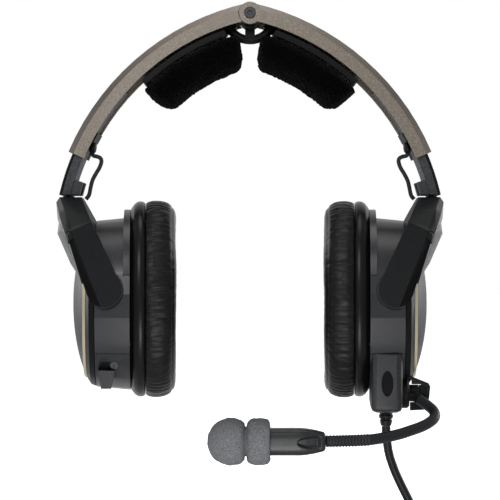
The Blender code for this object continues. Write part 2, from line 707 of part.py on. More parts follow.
def loop_wire():
    shift = SWIVEL_X - FRAME_X
    route = [(x + shift, 0.0, z) for x, z in LOOP_WIRE_ROUTE]
    return tube(smooth_route(route, 2.0), LOOP_WIRE_RADIUS, 8)


def yoke_arm(side):
    """One fork arm: a flat plate with a bevelled outer edge and a round end at the cup pivot."""
    px, pz = PIVOT
    steps = 9

    def ring(y, end_to, top):
        points = [(YOKE_INNER_TOP[0], side * y, YOKE_INNER_TOP[1])]
        for i in range(steps + 1):
            turn = math.radians(YOKE_END_FROM + (end_to - YOKE_END_FROM) * i / steps)
            away_x, away_z = YOKE_END_RADIUS * math.cos(turn), YOKE_END_RADIUS * math.sin(turn)
            points.append((px + away_x, side * y, pz + away_z))
        return points + [(top[0], side * y, top[1])]

    return skin([
        ring(YOKE_ARM_FACE, YOKE_END_FACE_TO, YOKE_FACE_TOP),
        ring(YOKE_ARM_BEVEL, YOKE_END_BACK_TO, YOKE_BACK_TOP),
        ring(YOKE_ARM_BACK, YOKE_END_BACK_TO, YOKE_BACK_TOP),
    ])


def web_x(y, z):
    """Outer face of the yoke's web, which bulges outwards between the fork arms."""
    rise = z - WEB_BEND_Z
    crest = WEB_CREST_X + min(0.0, rise) * WEB_CREST_SLOPE - max(0.0, rise) * WEB_TOP_LEAN
    side = YOKE_BACK_TOP[0] + (z - YOKE_BACK_TOP[1]) * WEB_SIDE_SLOPE
    return side + (crest - side) * (1.0 - (y / WEB_HALF_SPAN) ** 2)


def yoke_web():
    rings = []
    count = 12
    for i in range(count + 1):
        y = WEB_HALF_SPAN * (2.0 * i / count - 1.0)
        share = abs(y) / WEB_HALF_SPAN
        top = -73.0 - 10.0 * share ** 1.5
        low = WEB_LOW_Z - WEB_ARCH_DROP * share ** 3
        heights = [top, min(WEB_BEND_Z, top - 2.0), low]
        outer = [(web_x(y, z), y, z) for z in heights]
        inner = [(web_x(y, z) - WEB_THICK, y, z) for z in heights[::-1]]
        rings.append(outer + inner)
    return skin(rings)


def yoke():
    """Wishbone: neck on the slider, shoulders, a bulged web and two fork arms."""
    sections = [(-section[0], *section[1:]) for section in YOKE_SHOULDERS]
    sections += list(YOKE_SHOULDERS[::-1])
    shape = skin([[(x, y, z) for x, z in corners] for y, *corners in sections])
    for part in (yoke_web(), yoke_arm(-1.0), yoke_arm(1.0)):
        shape = combine(shape, part)
    pin = SWIVEL_PIN_RADIUS + GAP
    profile = [(pin, YOKE_TOP - SWIVEL_PIN_DOWN - GAP), (pin, YOKE_TOP + 1.0)]
    shape = cut(shape, lathe(profile, (FRAME_X, 0.0, 0.0), (0.0, 0.0, 1.0), 16))
    for side in (-1.0, 1.0):
        hole = [(PIN_RADIUS + GAP, YOKE_ARM_BACK - 1.0), (PIN_RADIUS + GAP, YOKE_ARM_BACK + PIN_REACH + GAP)]
        shape = cut(shape, lathe(hole, (PIVOT[0], 0.0, PIVOT[1]), (0.0, side, 0.0), 16))
    return shape


# Ear cup -----------------------------------------------------------------------------------------

def recess():
    """Round recesses that take the fork arms' ends."""
    reach = YOKE_ARM_FACE + 3.0
    parts = []
    for side in (-1.0, 1.0):
        profile = [(RECESS_RADIUS, RECESS_FACE), (RECESS_RADIUS, reach)]
        parts.append(lathe(profile, (PIVOT[0], 0.0, PIVOT[1]), (0.0, side, 0.0), 24))
    return join(*parts)


def cup_tube():
    top, side = CUP_WALL
    outer = [oval(x, h, d) for x, h, d in zip(CUP_X, CUP_HALF_HEIGHT, CUP_HALF_DEPTH)]
    inner = [oval(x, h - top, d - side) for x, h, d in zip(CUP_X, CUP_HALF_HEIGHT, CUP_HALF_DEPTH)]
    return skin(outer + inner[::-1], loop=True)


def cut_beyond(bm, z, direction):
    """Drop what lies above (1) or below (-1) a level plane through the cup."""
    reach = 3.0 * CUP_HALF_HEIGHT[0]
    low, high = sorted((z, z + direction * reach))
    return cut(bm, box((CUP_X[0] - 5.0, -reach, low), (CUP_X[1] + 5.0, reach, high)))


def upper_part(bm):
    return cut_beyond(bm, CUP_SPLIT_Z + GAP / 2.0, -1.0)


def lower_part(bm):
    return cut_beyond(bm, CUP_SPLIT_Z - GAP / 2.0, 1.0)


def cup_shell():
    shell = combine(upper_part(cup_tube()), flange_ring())
    shell = cut(shell, recess())
    for side in (-1.0, 1.0):
        bore = PIN_RADIUS + GAP
        hole = [(bore, CUP_HALF_DEPTH[1] - 2.0 * CUP_WALL[1]), (bore, CUP_HALF_DEPTH[0] + 3.0)]
        shell = cut(shell, lathe(hole, (PIVOT[0], 0.0, PIVOT[1]), (0.0, side, 0.0), 16))
    return shell


def pivot_pin(side):
    """Headed pin from inside the cup through its wall into each fork arm."""
    radius, thick = PIN_HEAD
    seat = CUP_HALF_DEPTH[1] - CUP_WALL[1] - 1.2
    tip = YOKE_ARM_BACK + PIN_REACH
    profile = [(radius, seat - thick), (radius, seat), (PIN_RADIUS, seat), (PIN_RADIUS, tip)]
    return lathe(profile, (PIVOT[0], 0.0, PIVOT[1]), (0.0, side, 0.0), 10)


def cover_rim():
    """Dark bevelled rim between the cup and its outer cover."""
    outer = [oval(*section) for section in RIM_SECTIONS]
    hole_h, hole_d = RIM_HOLE
    inner = [oval(RIM_SECTIONS[-1][0], hole_h, hole_d), oval(RIM_SECTIONS[0][0], hole_h, hole_d)]
    return cut(skin(outer + inner, loop=True), recess())


def left_cover_rim():
    return cut(cover_rim(), hub_clearance())


def trim_ring():
    low, high = TRIM_SECTION
    h, d = TRIM_OVAL
    outer = [oval(low, h, d), oval(high, h - 0.5, d - 0.5)]
    inner = [oval(high, h - TRIM_WIDTH, d - TRIM_WIDTH), oval(low, h - TRIM_WIDTH, d - TRIM_WIDTH)]
    return skin(outer + inner, loop=True)


def outer_cover():
    """Thin dished cover on the outside of the cup."""
    def dish(back, rim, peak, shrink):
        rings = []
        for share in (0.15, 0.45, 0.68, 0.85, 0.95, 1.0):
            height = rim + (peak - rim) * (1.0 - share ** 2) ** DOME_POWER
            rings.append(oval(height, (DOME_OVAL[0] - shrink) * share, (DOME_OVAL[1] - shrink) * share))
        return rings + [oval(back, DOME_OVAL[0] - shrink, DOME_OVAL[1] - shrink)]

    outer = dish(DOME_BACK, DOME_RIM, DOME_PEAK, 0.0)
    inner = dish(DOME_BACK, DOME_RIM - 0.3, DOME_PEAK - DOME_WALL, DOME_WALL)
    return skin(outer + inner[::-1])


def flange_ring():
    """Raised flange round the upper half of the cup, which fades out at its ends."""
    low, high = FLANGE_X
    h, d = CUP_HALF_HEIGHT[0] - FLANGE_ROOT, CUP_HALF_DEPTH[0] - FLANGE_ROOT
    start = math.asin((FLANGE_END_Z - CUP_Z) / h)
    count = 16
    rings = []
    for i in range(count + 1):
        turn = start + (math.pi - 2.0 * start) * i / count
        fade = 0.16 + 0.84 * math.sin(math.pi * i / count) ** 0.6
        across, up = math.cos(turn), math.sin(turn)
        grow = (abs(across) ** OVAL_POWER + abs(up) ** OVAL_POWER) ** (-1.0 / OVAL_POWER)
        y, z = d * across * grow, CUP_Z + h * up * grow
        away = Vector((across / d, up / h)).normalized() * (FLANGE_ROOT + FLANGE_RISE * fade)
        far_y, far_z = y + away.x, z + away.y
        rings.append([(low, y, z), (high, y, z), (high, far_y, far_z), (low, far_y, far_z)])
    return skin(rings)


def cushion_ring():
    """Ring that holds the ear cushion on the cup."""
    outer = [oval(x, h, d, CUSHION_Z) for x, h, d in RING_SECTIONS]
    h, d = RING_HOLE
    inner = [oval(RING_SECTIONS[-1][0], h, d, CUSHION_Z), oval(RING_SECTIONS[0][0], h, d, CUSHION_Z)]
    return skin(outer + inner, loop=True)


def ear_cushion():
    """Soft oval ring that seals round the ear."""
    hole_h, hole_d = CUSHION_HOLE
    out_h, out_d = CUSHION_HALF
    mid_h, mid_d = (out_h + hole_h) / 2.0, (out_d + hole_d) / 2.0
    half_h, half_d = (out_h - hole_h) / 2.0, (out_d - hole_d) / 2.0
    front, back = CUSHION_X
    rings = []
    for turn_deg in (0, 30, 60, 90, 120, 150, 180):
        turn = math.radians(turn_deg)
        swell = math.cos(turn)
        bulge = abs(math.sin(turn)) ** 0.7
        x = back - 4.0 - (back - 4.0 - front) * bulge
        rings.append(oval(x, mid_h + half_h * swell, mid_d + half_d * swell, CUSHION_Z))
    rings.append(oval(back, mid_h - half_h * 0.85, mid_d - half_d * 0.85, CUSHION_Z))
    rings.append(oval(back, mid_h + half_h * 0.85, mid_d + half_d * 0.85, CUSHION_Z))
    return skin(rings, loop=True)


def ear_scrim():
    h, d = SCRIM_OVAL
    low, high = SCRIM_X
    return skin([oval(low, h, d, CUSHION_Z, 20), oval(high, h, d, CUSHION_Z, 20)])


def baffle():
    low, high = BAFFLE_X
    h, d = RING_HOLE[0] - GAP, RING_HOLE[1] - GAP
    plate = skin([oval(low, h, d, CUSHION_Z), oval(high, h, d, CUSHION_Z)])
    bore = [(BAFFLE_HOLE, low - 1.0), (BAFFLE_HOLE, high + 1.0)]
    hole = lathe(bore, (0.0, 0.0, CUSHION_Z), (1.0, 0.0, 0.0), 20)
    return cut(plate, hole)


def driver():
    front, flange, back = DRIVER_X
    radius = DRIVER_RADIUS
    profile = [
        (radius * 0.3, front + 2.0), (radius * 0.8, front), (radius, front), (radius, flange),
        (radius * 0.75, flange + 1.0), (radius * 0.55, back), (radius * 0.3, back),
    ]
    return lathe(profile, (0.0, 0.0, CUSHION_Z), (1.0, 0.0, 0.0), 20)


def circuit_board():
    """Noise-cancelling board, with its chips, carried by the back of the driver."""
    low, high = BOARD_X
    half_z, half_y = BOARD_HALF
    board = box((low, -half_y, CUSHION_Z - half_z), (high, half_y, CUSHION_Z + half_z))
    boss = box((DRIVER_X[2] + GAP, -5.0, CUSHION_Z - 5.0), (low + 0.2, 5.0, CUSHION_Z + 5.0))
    board = combine(board, boss)
    for z, size in BOARD_CHIPS:
        chip = box((high - 0.2, -size, CUSHION_Z + z - size), (high + 1.6, size, CUSHION_Z + z + size))
        board = combine(board, chip)
    return board


def port_cover():
    """Lower part of the right cup, with a tab at its foot and a screw."""
    cover = lower_part(cup_tube())
    tab = prism(TAB, *TAB_Y)
    cover = combine(cover, tab)
    x, z, radius = COVER_SCREW
    hole = [(radius + GAP, COVER_SCREW_Y[0] - GAP), (radius + GAP, CUP_HALF_DEPTH[0])]
    return cut(cover, lathe(hole, (x, 0.0, z), (0.0, -1.0, 0.0), 16))


def port_screw():
    x, z, radius = COVER_SCREW
    near, far = COVER_SCREW_Y
    screw = lathe([(radius, near), (radius, far)], (x, 0.0, z), (0.0, -1.0, 0.0), 14)
    socket = lathe([(radius * 0.5, far - 0.8), (radius * 0.5, far + 1.0)], (x, 0.0, z), (0.0, -1.0, 0.0), 6)
    return cut(screw, socket)


# Boom, microphone and cable ----------------------------------------------------------------------

def boom_module():
    """Housing under the left cup that takes the cable and carries the boom."""
    block = box((MODULE_X[0], MODULE_Y[0], MODULE_Z[0]), (MODULE_X[1], MODULE_Y[1], MODULE_Z[1]))
    bmesh.ops.bevel(block, geom=block.edges[:], offset=MODULE_EDGE, segments=2, profile=0.5,
                    affect="EDGES", material=-1)
    module = combine(cup_tube(), block)
    x, z, half_x, half_z, depth = MODULE_DIMPLE
    face = -MODULE_Y[0]
    dimple = lathe([(1.0, face - depth), (1.0, face + 3.0)], (0.0, 0.0, 0.0), (0.0, -1.0, 0.0), 20)
    bmesh.ops.scale(dimple, vec=(half_x, 1.0, half_z), verts=dimple.verts)
    bmesh.ops.translate(dimple, vec=(x, 0.0, z), verts=dimple.verts)
    return cut(cut(lower_part(module), dimple), hub_clearance())


def hub_lathe(profile, steps=24):
    return lathe(profile, (0.0, HUB_Y, HUB_Z), (1.0, 0.0, 0.0), steps)


def hub_clearance():
    """Room round the boom hub and the turning wings."""
    radius = max(HUB_RADIUS, WING_SPAN) + 2.0 * GAP
    return hub_lathe([(radius, HUB_X[0] - GAP), (radius, WING_X[1] + WING_SPAN)], 32)


def boom_path():
    return smooth_route([untoed(point) for point in BOOM_ROUTE], 3.2)


def boom_hub():
    """Disc and threaded stem on the module, with a socket that takes the gooseneck."""
    near, far = HUB_X
    stem, end = HUB_STEM
    disc = [(HUB_RADIUS, near), (HUB_RADIUS, far - 1.0), (HUB_RADIUS - 1.0, far)]
    hub = hub_lathe(disc + [(stem, far), (stem, end)])
    mouth, inside = boom_path()[:2]
    ahead = (inside - mouth).normalized()
    root = Vector(((near + far) / 2.0, HUB_Y + HUB_SOCKET_ROOT[0], HUB_Z + HUB_SOCKET_ROOT[1]))
    socket = tube([root, mouth - ahead * HUB_SOCKET_RADIUS, mouth - ahead * GAP], HUB_SOCKET_RADIUS, 12)
    return combine(hub, socket)


def wing_nut():
    """Thumb nut with a broad wing above and a short wing below."""
    near, far = WING_X
    nut = hub_lathe([(HUB_STEM[0], near), (HUB_STEM[0] - 0.6, far)], 16)
    thick = WING_HALF_THICK
    for outline in (WING_UPPER, WING_LOWER):
        points = [(near + x, HUB_Z + z) for x, z in outline]
        nut = combine(nut, prism(points, HUB_Y - thick, HUB_Y + thick))
    return nut


def boom():
    """Gooseneck from the hub to the bend near the microphone."""
    path = boom_path()
    short = Vector(untoed(BEND))
    ahead = (path[-1] - path[-2]).normalized()
    path[-1] = short - ahead * (BOOM_RADIUS + GAP)
    return tube(path, BOOM_RADIUS, 12)


def boom_tip():
    """Last stretch of the gooseneck, with a ball end in the bend."""
    path = smooth_route([untoed(point) for point in TIP_ROUTE], 4.0)
    ahead = (path[1] - path[0]).normalized()
    start, ball, radii = path[0], [], []
    for turn_deg in (80, 55, 30):
        turn = math.radians(turn_deg)
        ball.append(start - ahead * BOOM_RADIUS * math.sin(turn))
        radii.append(BOOM_RADIUS * math.cos(turn))
    radii += [BOOM_RADIUS] * len(path)
    return tube(ball + path, BOOM_RADIUS, 12, radii)


def mic_housing():
    """Oval housing that leaves the windscreen and tapers to the gooseneck."""
    low, high = MIC_X
    half_y, half_z = MIC_HALF
    rings = []
    for share, size in ((0.0, 0.94), (0.05, 1.0), (0.58, 1.0), (0.8, 0.86), (0.97, 0.66), (1.0, 0.52)):
        x = low + (high - low) * share
        ring = []
        for i in range(16):
            turn = 2.0 * math.pi * i / 16.0
            point = (x, MIC_Y + half_y * size * math.cos(turn), MIC_Z + half_z * size * math.sin(turn))
            ring.append(untoed(point))
        rings.append(ring)
    return skin(rings)


def mic_lathe(profile, steps, loop=False):
    bm = lathe(profile, (0.0, MIC_Y, MIC_Z), (1.0, 0.0, 0.0), steps, loop)
    for vert in bm.verts:
        vert.co = untoed(vert.co)
    return bm


def mic_capsule():
    radius, low, high = CAPSULE
    return mic_lathe([(radius * 0.8, low), (radius, low + 1.0), (radius, high)], 14)


def windscreen():
    """Foam ball with a collar, hollow for the microphone."""
    low, high = SCREEN_X
    radius = SCREEN_RADIUS
    waist, end = SCREEN_GROOVE_X[0], high
    profile = [(0.2 * radius, low)]
    for turn_deg in (60, 42, 24, 8, -10, -28):
        turn = math.radians(turn_deg)
        profile.append((radius * math.cos(turn), low + radius - radius * math.sin(turn)))
    profile += [(radius * 0.8, waist - 1.0), (radius * 0.8, waist + 1.0), (radius * 0.97, waist + 3.0),
                (radius * 0.97, end - 1.5), (radius * 0.86, end), (SCREEN_BORE, end),
                (SCREEN_BORE, CAPSULE[1] - GAP), (0.6, CAPSULE[1] - GAP)]
    return mic_lathe(profile, 18)


def strain_relief():
    top = MODULE_Z[0] - GAP
    wide, mid, thin = RELIEF_RADII
    length = RELIEF_LENGTH
    profile = [
        (wide, top), (wide, top - 1.6), (mid - 0.6, top - 1.9), (mid - 0.6, top - 2.4),
        (mid, top - 2.7), (mid - 0.3, top - 4.2), (mid - 0.9, top - 4.5), (mid - 0.9, top - 5.0),
        (mid - 0.5, top - 5.3), (thin, top - length),
    ]
    return lathe(profile, (RELIEF_X, HUB_Y, 0.0), (0.0, 0.0, 1.0), 18)


def cord(name, route, parent):
    """Plain cord: a curve with a round bevel, through a smooth run of points."""
    curve = bpy.data.curves.new(name, "CURVE")
    curve.dimensions = "3D"
    curve.bevel_depth = CABLE_RADIUS * MM
    curve.bevel_resolution = 2
    curve.use_fill_caps = True
    points = smooth_route(route, 2.5 * 2.0 * CABLE_RADIUS)
    spline = curve.splines.new("POLY")
    spline.points.add(len(points) - 1)
    turn = Matrix.Rotation(math.radians(-parent["toe"]), 4, "Z")
    for made, point in zip(spline.points, points):
        local = turn @ (point * MM - Vector(parent["rest"]))
        made.co = (*local, 1.0)
    curve.materials.append(material(name, *RUBBER))
    made = bpy.data.objects.new(name, curve)
    bpy.context.collection.objects.link(made)
    made.parent = parent
    return made


def to_left_cup(bm):
    """Take a mesh modelled where it lies back to the frame that the toe-in then turns."""
    for vert in bm.verts:
        vert.co = untoed(vert.co)
    return bm


def cable_coil():
    """Outer shape of the wound cable: one turned ring."""
    section = []
    for i in range(8):
        turn = 2.0 * math.pi * (i + 0.5) / 8.0
        grow = COIL_HALF / math.cos(math.pi / 8.0)
        section.append((COIL_RADIUS + grow * math.cos(turn), grow * math.sin(turn)))
    return to_left_cup(lathe(section, COIL_CENTRE, (0.0, -1.0, 0.0), 28, loop=True))


def cable_tie():
    """Band round the coil's bundle."""
    cx, cy, cz = COIL_CENTRE
    turn = math.radians(TIE_ANGLE)
    radial = Vector((math.cos(turn), 0.0, math.sin(turn)))
    along = Vector((-math.sin(turn), 0.0, math.cos(turn)))
    centre = Vector((cx, cy, cz)) + radial * COIL_RADIUS
    across = Vector((0.0, 1.0, 0.0))
    inner = COIL_HALF / math.cos(math.pi / 8.0) + GAP + 0.35
    rings = []
    for grow, shift in ((inner, -1.0), (inner + TIE_THICK, -1.0), (inner + TIE_THICK, 1.0), (inner, 1.0)):
        ring = []
        for i in range(16):
            angle = 2.0 * math.pi * i / 16.0
            offset = radial * math.cos(angle) + across * math.sin(angle)
            ring.append(centre + offset * grow + along * shift * TIE_HALF_WIDTH)
        rings.append(ring)
    return to_left_cup(skin(rings, loop=True))


def plug():
    """Round push-pull plug: flexible boot, grip and nose."""
    x, y, _ = TAIL_ROUTE[-1]
    boot_small, boot_wide, boot_length = PLUG_BOOT
    grip, grip_length = PLUG_GRIP
    nose, nose_length = PLUG_NOSE
    z0 = PLUG_TOP
    z1 = z0 - boot_length
    z2 = z1 - grip_length
    z3 = z2 - nose_length
    profile = [
        (boot_small, z0), (boot_wide, z1), (grip - 0.8, z1), (grip, z1 - 1.5), (grip, z2 + 1.5),
        (grip - 0.8, z2), (nose, z2), (nose, z3 + 0.4), (nose - 0.4, z3),
    ]
    return to_left_cup(lathe(profile, (x, y, 0.0), (0.0, 0.0, 1.0), 20))


# Assembly ----------------------------------------------------------------------------------------

def clear_scene():
    for old in list(bpy.data.objects):
        bpy.data.objects.remove(old)


def build_centre():
    hinge = (0.0, 0.0, HINGE_Z)
    node("hinge_bolt", hinge_bolt(), STEEL, hinge)
    node("hinge_nut", hinge_nut(), STEEL, hinge)
    node("torsion_spring", torsion_spring(), STEEL, hinge)
    node("head_bridge", head_bridge(), BLACK_PLASTIC, hinge)


def build_side(label, sign):
    """Everything that both sides have, mirrored for the right one."""
    mirrored = sign < 0.0
    hinge = (0.0, 0.0, HINGE_Z)
    arc = (ARM_CENTRE[0], 0.0, ARM_CENTRE[1])
    arm = left_arm() if sign > 0.0 else right_arm()
    node(f"head_band_{label}", arm, PAINT, hinge, None, mirrored)
    node(f"pad_carrier_{label}", pad_carrier(), BLACK_PLASTIC, hinge, None, mirrored)
    node(f"head_pad_{label}", head_pad(), FLEECE, hinge, None, mirrored)
    node(f"wire_grommet_{label}", wire_grommet(), RUBBER, hinge, None, mirrored)
    node(f"slider_{label}", slider(), GREY_PLASTIC, arc, None, mirrored)
    node(f"loop_wire_{label}", loop_wire(), RUBBER, arc, None, mirrored)

    here, modelled = (sign * SWIVEL_X, 0.0, YOKE_TOP), (sign * FRAME_X, 0.0, YOKE_TOP)
    swivel = carrier_empty(f"swivel_{label}", here, modelled, -sign * TOE_IN)
    pin = (FRAME_X, 0.0, YOKE_TOP)
    pivot = (PIVOT[0], 0.0, PIVOT[1])
    node(f"yoke_{label}", yoke(), BLACK_PLASTIC, pin, swivel, mirrored)
    node(f"swivel_pin_{label}", swivel_pin(), STEEL, pin, swivel, mirrored)
    pieces = (
        ("cup_shell", cup_shell(), BLACK_PLASTIC),
        ("front_pivot_pin", pivot_pin(-1.0), STEEL), ("rear_pivot_pin", pivot_pin(1.0), STEEL),
        ("cover_rim", left_cover_rim() if sign > 0.0 else cover_rim(), BLACK_PLASTIC),
        ("trim_ring", trim_ring(), BRONZE),
        ("outer_cover", outer_cover(), GREY_PLASTIC), ("cushion_ring", cushion_ring(), RUBBER),
        ("ear_cushion", ear_cushion(), LEATHER),
        ("ear_scrim", ear_scrim(), FLEECE), ("baffle", baffle(), BLACK_PLASTIC),
        ("driver", driver(), STEEL), ("circuit_board", circuit_board(), CIRCUIT),
    )
    for name, bm, look in pieces:
        node(f"{name}_{label}", bm, look, pivot, swivel, mirrored)
    return swivel


def build_right_extras(swivel):
    pivot = (PIVOT[0], 0.0, PIVOT[1])
    node("port_cover_right", port_cover(), BLACK_PLASTIC, pivot, swivel, True)
    node("port_screw_right", port_screw(), STEEL, pivot, swivel, True)


def build_left_extras(swivel):
    pivot = (PIVOT[0], 0.0, PIVOT[1])
    hub = (HUB_X[0], HUB_Y, HUB_Z)
    bend = untoed(BEND)
    node("boom_module", boom_module(), BLACK_PLASTIC, pivot, swivel)
    node("boom_hub", boom_hub(), BLACK_PLASTIC, hub, swivel)
    node("wing_nut", wing_nut(), BLACK_PLASTIC, hub, swivel)
    node("boom", boom(), RUBBER, hub, swivel)
    node("boom_tip", boom_tip(), RUBBER, bend, swivel)
    node("mic_housing", mic_housing(), GREY_PLASTIC, bend, swivel)
    node("mic_capsule", mic_capsule(), STEEL, bend, swivel)
    node("windscreen", windscreen(), FOAM, bend, swivel)
    node("strain_relief", strain_relief(), RUBBER, pivot, swivel)
    cord("down_cable", CABLE_ROUTE, swivel)
    cord("cable_tail", TAIL_ROUTE, swivel)
    node("cable_coil", cable_coil(), RUBBER, pivot, swivel)
    node("cable_tie", cable_tie(), RUBBER, pivot, swivel)
    node("cable_plug", plug(), STEEL, pivot, swivel)


def main():
    clear_scene()
    build_centre()
    swivels = {label: build_side(label, sign) for label, sign in SIDES.items()}
    build_right_extras(swivels["right"])
    build_left_extras(swivels["left"])


main()
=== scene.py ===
# %% [markdown]
# # An aviation headset
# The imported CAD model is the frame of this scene: it gives every part its place and its joints.
# This script dresses it. It keeps each CAD part whose shape is right, gives it rounded edges and a
# proper finish, and builds the soft and curved parts again with finer meshes.

# %% Load the frame
import json
import math

import bmesh
import bpy
from mathutils import Matrix, Vector, noise

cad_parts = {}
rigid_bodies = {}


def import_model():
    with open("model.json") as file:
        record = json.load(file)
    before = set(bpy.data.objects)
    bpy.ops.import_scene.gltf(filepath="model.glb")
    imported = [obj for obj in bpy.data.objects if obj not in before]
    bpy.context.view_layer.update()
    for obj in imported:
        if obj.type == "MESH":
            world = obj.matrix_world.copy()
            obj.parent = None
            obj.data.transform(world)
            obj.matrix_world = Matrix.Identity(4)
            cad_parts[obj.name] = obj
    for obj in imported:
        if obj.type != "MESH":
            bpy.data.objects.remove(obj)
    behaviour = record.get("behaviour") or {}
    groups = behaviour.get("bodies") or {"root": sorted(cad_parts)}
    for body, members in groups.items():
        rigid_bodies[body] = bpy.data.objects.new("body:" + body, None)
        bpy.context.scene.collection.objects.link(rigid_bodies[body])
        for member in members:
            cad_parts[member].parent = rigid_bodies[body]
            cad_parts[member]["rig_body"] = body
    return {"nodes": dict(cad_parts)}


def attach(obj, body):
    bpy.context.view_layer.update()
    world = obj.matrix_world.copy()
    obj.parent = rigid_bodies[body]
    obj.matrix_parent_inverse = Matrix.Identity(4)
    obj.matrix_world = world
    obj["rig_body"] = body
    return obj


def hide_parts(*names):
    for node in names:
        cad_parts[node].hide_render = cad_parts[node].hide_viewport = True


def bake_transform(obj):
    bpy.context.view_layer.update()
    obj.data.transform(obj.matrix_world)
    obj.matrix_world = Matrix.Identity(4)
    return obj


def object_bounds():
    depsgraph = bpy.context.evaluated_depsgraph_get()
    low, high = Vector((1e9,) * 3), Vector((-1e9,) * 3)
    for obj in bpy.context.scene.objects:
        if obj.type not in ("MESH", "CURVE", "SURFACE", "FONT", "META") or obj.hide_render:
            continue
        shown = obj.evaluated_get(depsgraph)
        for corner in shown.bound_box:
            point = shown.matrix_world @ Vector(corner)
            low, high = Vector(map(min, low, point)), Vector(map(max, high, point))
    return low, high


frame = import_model()
cad_low, cad_high = [list(corner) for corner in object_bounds()]
scene = bpy.context.scene
MM = 0.001
print("CAD box in mm:", [round(value / MM, 1) for value in cad_low + cad_high])

# %% [markdown]
# ## Camera
# The photograph is a straight front view from about 0.7 m. A long lens keeps the two ear cups
# nearly free of perspective, as there. The camera looks level along +Y.

# %% Place the camera
CAMERA_PLACE = (0.0, -0.680, -0.0908)
LENS = 96.0
camera_data = bpy.data.cameras.new("camera")
camera_data.lens = LENS
camera_data.sensor_width = 36.0
camera_data.sensor_fit = "HORIZONTAL"
camera = bpy.data.objects.new("camera", camera_data)
scene.collection.objects.link(camera)
camera.location = CAMERA_PLACE
camera.rotation_euler = (math.radians(90.0), 0.0, 0.0)
scene.camera = camera
scene.view_settings.view_transform = "Standard"

# %% [markdown]
# ## Small tools
# One function turns an sRGB hex value into the linear colour that a shader needs. Another adds one
# node with its settings and links. They keep every material below short enough to read.

# %% Colour and node helpers
def colour(code):
    """Linear RGBA from a six-digit sRGB hex code."""
    channels = [int(code[i:i + 2], 16) / 255.0 for i in (0, 2, 4)]
    return (*[c / 12.92 if c <= 0.04045 else ((c + 0.055) / 1.055) ** 2.4 for c in channels], 1.0)


def add(tree, kind, settings=None, links=None):
    """Add a node. Settings are attributes or input values, links are input: (node, output)."""
    made = tree.nodes.new(kind)
    for key, value in (settings or {}).items():
        if isinstance(key, str) and hasattr(made, key):
            setattr(made, key, value)
        else:
            made.inputs[key].default_value = value
    for key, (source, output) in (links or {}).items():
        tree.links.new(source.outputs[output], made.inputs[key])
    return made


def finish(name, code, roughness, metallic=0.0, **sockets):
    """A Principled material with uniform values on the shader's own sockets."""
    made = bpy.data.materials.new(name)
    made.use_nodes = True
    shader = made.node_tree.nodes["Principled BSDF"]
    shader.inputs["Base Color"].default_value = colour(code)
    shader.inputs["Roughness"].default_value = roughness
    shader.inputs["Metallic"].default_value = metallic
    for key, value in sockets.items():
        shader.inputs[key.replace("_", " ")].default_value = value
    return made, made.node_tree, shader


# %% [markdown]
# ## Surfaces with grain
# Nearly every surface here is a moulded or painted one with a fine texture. Noise on Object
# coordinates stays put on the piece. Its scale is one over the grain's size in metres.

# %% Grain and tone
def grain(tree, shader, size_mm, depth_mm, strength=0.6):
    """Fine bump of a spark-eroded mould or a cast surface."""
    place = add(tree, "ShaderNodeTexCoord")
    texture = add(tree, "ShaderNodeTexNoise", {"Scale": 1.0 / (size_mm * MM), "Detail": 2.0},
                  {"Vector": (place, "Object")})
    bump = add(tree, "ShaderNodeBump", {"Strength": strength, "Distance": depth_mm * MM},
               {"Height": (texture, 0)})
    tree.links.new(bump.outputs[0], shader.inputs["Normal"])
    return place


def two_tones(tree, shader, place, size_mm, dark, light, low=0.35, high=0.65):
    """Colour that drifts between two tones in patches of the given size."""
    patches = add(tree, "ShaderNodeTexNoise", {"Scale": 1.0 / (size_mm * MM), "Detail": 3.0},
                  {"Vector": (place, "Object")})
    ramp = add(tree, "ShaderNodeValToRGB", links={"Fac": (patches, 0)})
    ramp.color_ramp.elements[0].position, ramp.color_ramp.elements[1].position = low, high
    ramp.color_ramp.elements[0].color = colour(dark)
    ramp.color_ramp.elements[1].color = colour(light)
    tree.links.new(ramp.outputs[0], shader.inputs["Base Color"])
    return ramp


def rough_patches(tree, shader, place, size_mm, low, high):
    """Roughness that drifts, as handling polishes a surface unevenly."""
    patches = add(tree, "ShaderNodeTexNoise", {"Scale": 1.0 / (size_mm * MM), "Detail": 2.0},
                  {"Vector": (place, "Object")})
    spread = add(tree, "ShaderNodeMapRange", {"To Min": low, "To Max": high}, {"Value": (patches, 0)})
    tree.links.new(spread.outputs[0], shader.inputs["Roughness"])


# %% [markdown]
# ## Finishes
# The arms are a cast light alloy under satin metallic paint: fine bright flakes in a taupe coat. The
# paint on their outer bevel turns dark brown towards the lower ends: painted shade, where less light
# falls on the bevel. Such local changes are mixed over the base colour, with a share worked out from the
# place on the piece.

# %% Painted light alloy
def speckled_paint(name, dark, light, flake):
    made, tree, shader = finish(name, light, 0.42, 0.3, Coat_Weight=0.1, Coat_Roughness=0.4)
    place = grain(tree, shader, 0.22, 0.02, 0.5)
    ramp = two_tones(tree, shader, place, 0.35, dark, light, 0.38, 0.6)
    ramp.color_ramp.elements.new(0.78).color = colour(flake)
    return made


def paint_over(material, code, share_of):
    """Mix a colour over the base colour. share_of(tree, x y z) makes the node that gives its share."""
    tree = material.node_tree
    base = tree.nodes["Principled BSDF"].inputs["Base Color"]
    place = add(tree, "ShaderNodeTexCoord")
    parts = add(tree, "ShaderNodeSeparateXYZ", links={0: (place, "Object")})
    both = add(tree, "ShaderNodeMix", {"data_type": "RGBA", 7: colour(code)},
               {0: (share_of(tree, parts), 0)})
    tree.links.new(base.links[0].from_socket, both.inputs[6])
    tree.links.new(both.outputs[2], base)


def darker_beyond(material, code, start_mm, end_mm):
    """Let the colour change to a darker one between two heights."""
    paint_over(material, code, lambda tree, parts: add(
        tree, "ShaderNodeMapRange", {"From Min": start_mm * MM, "From Max": end_mm * MM},
        {"Value": (parts, 2)}))


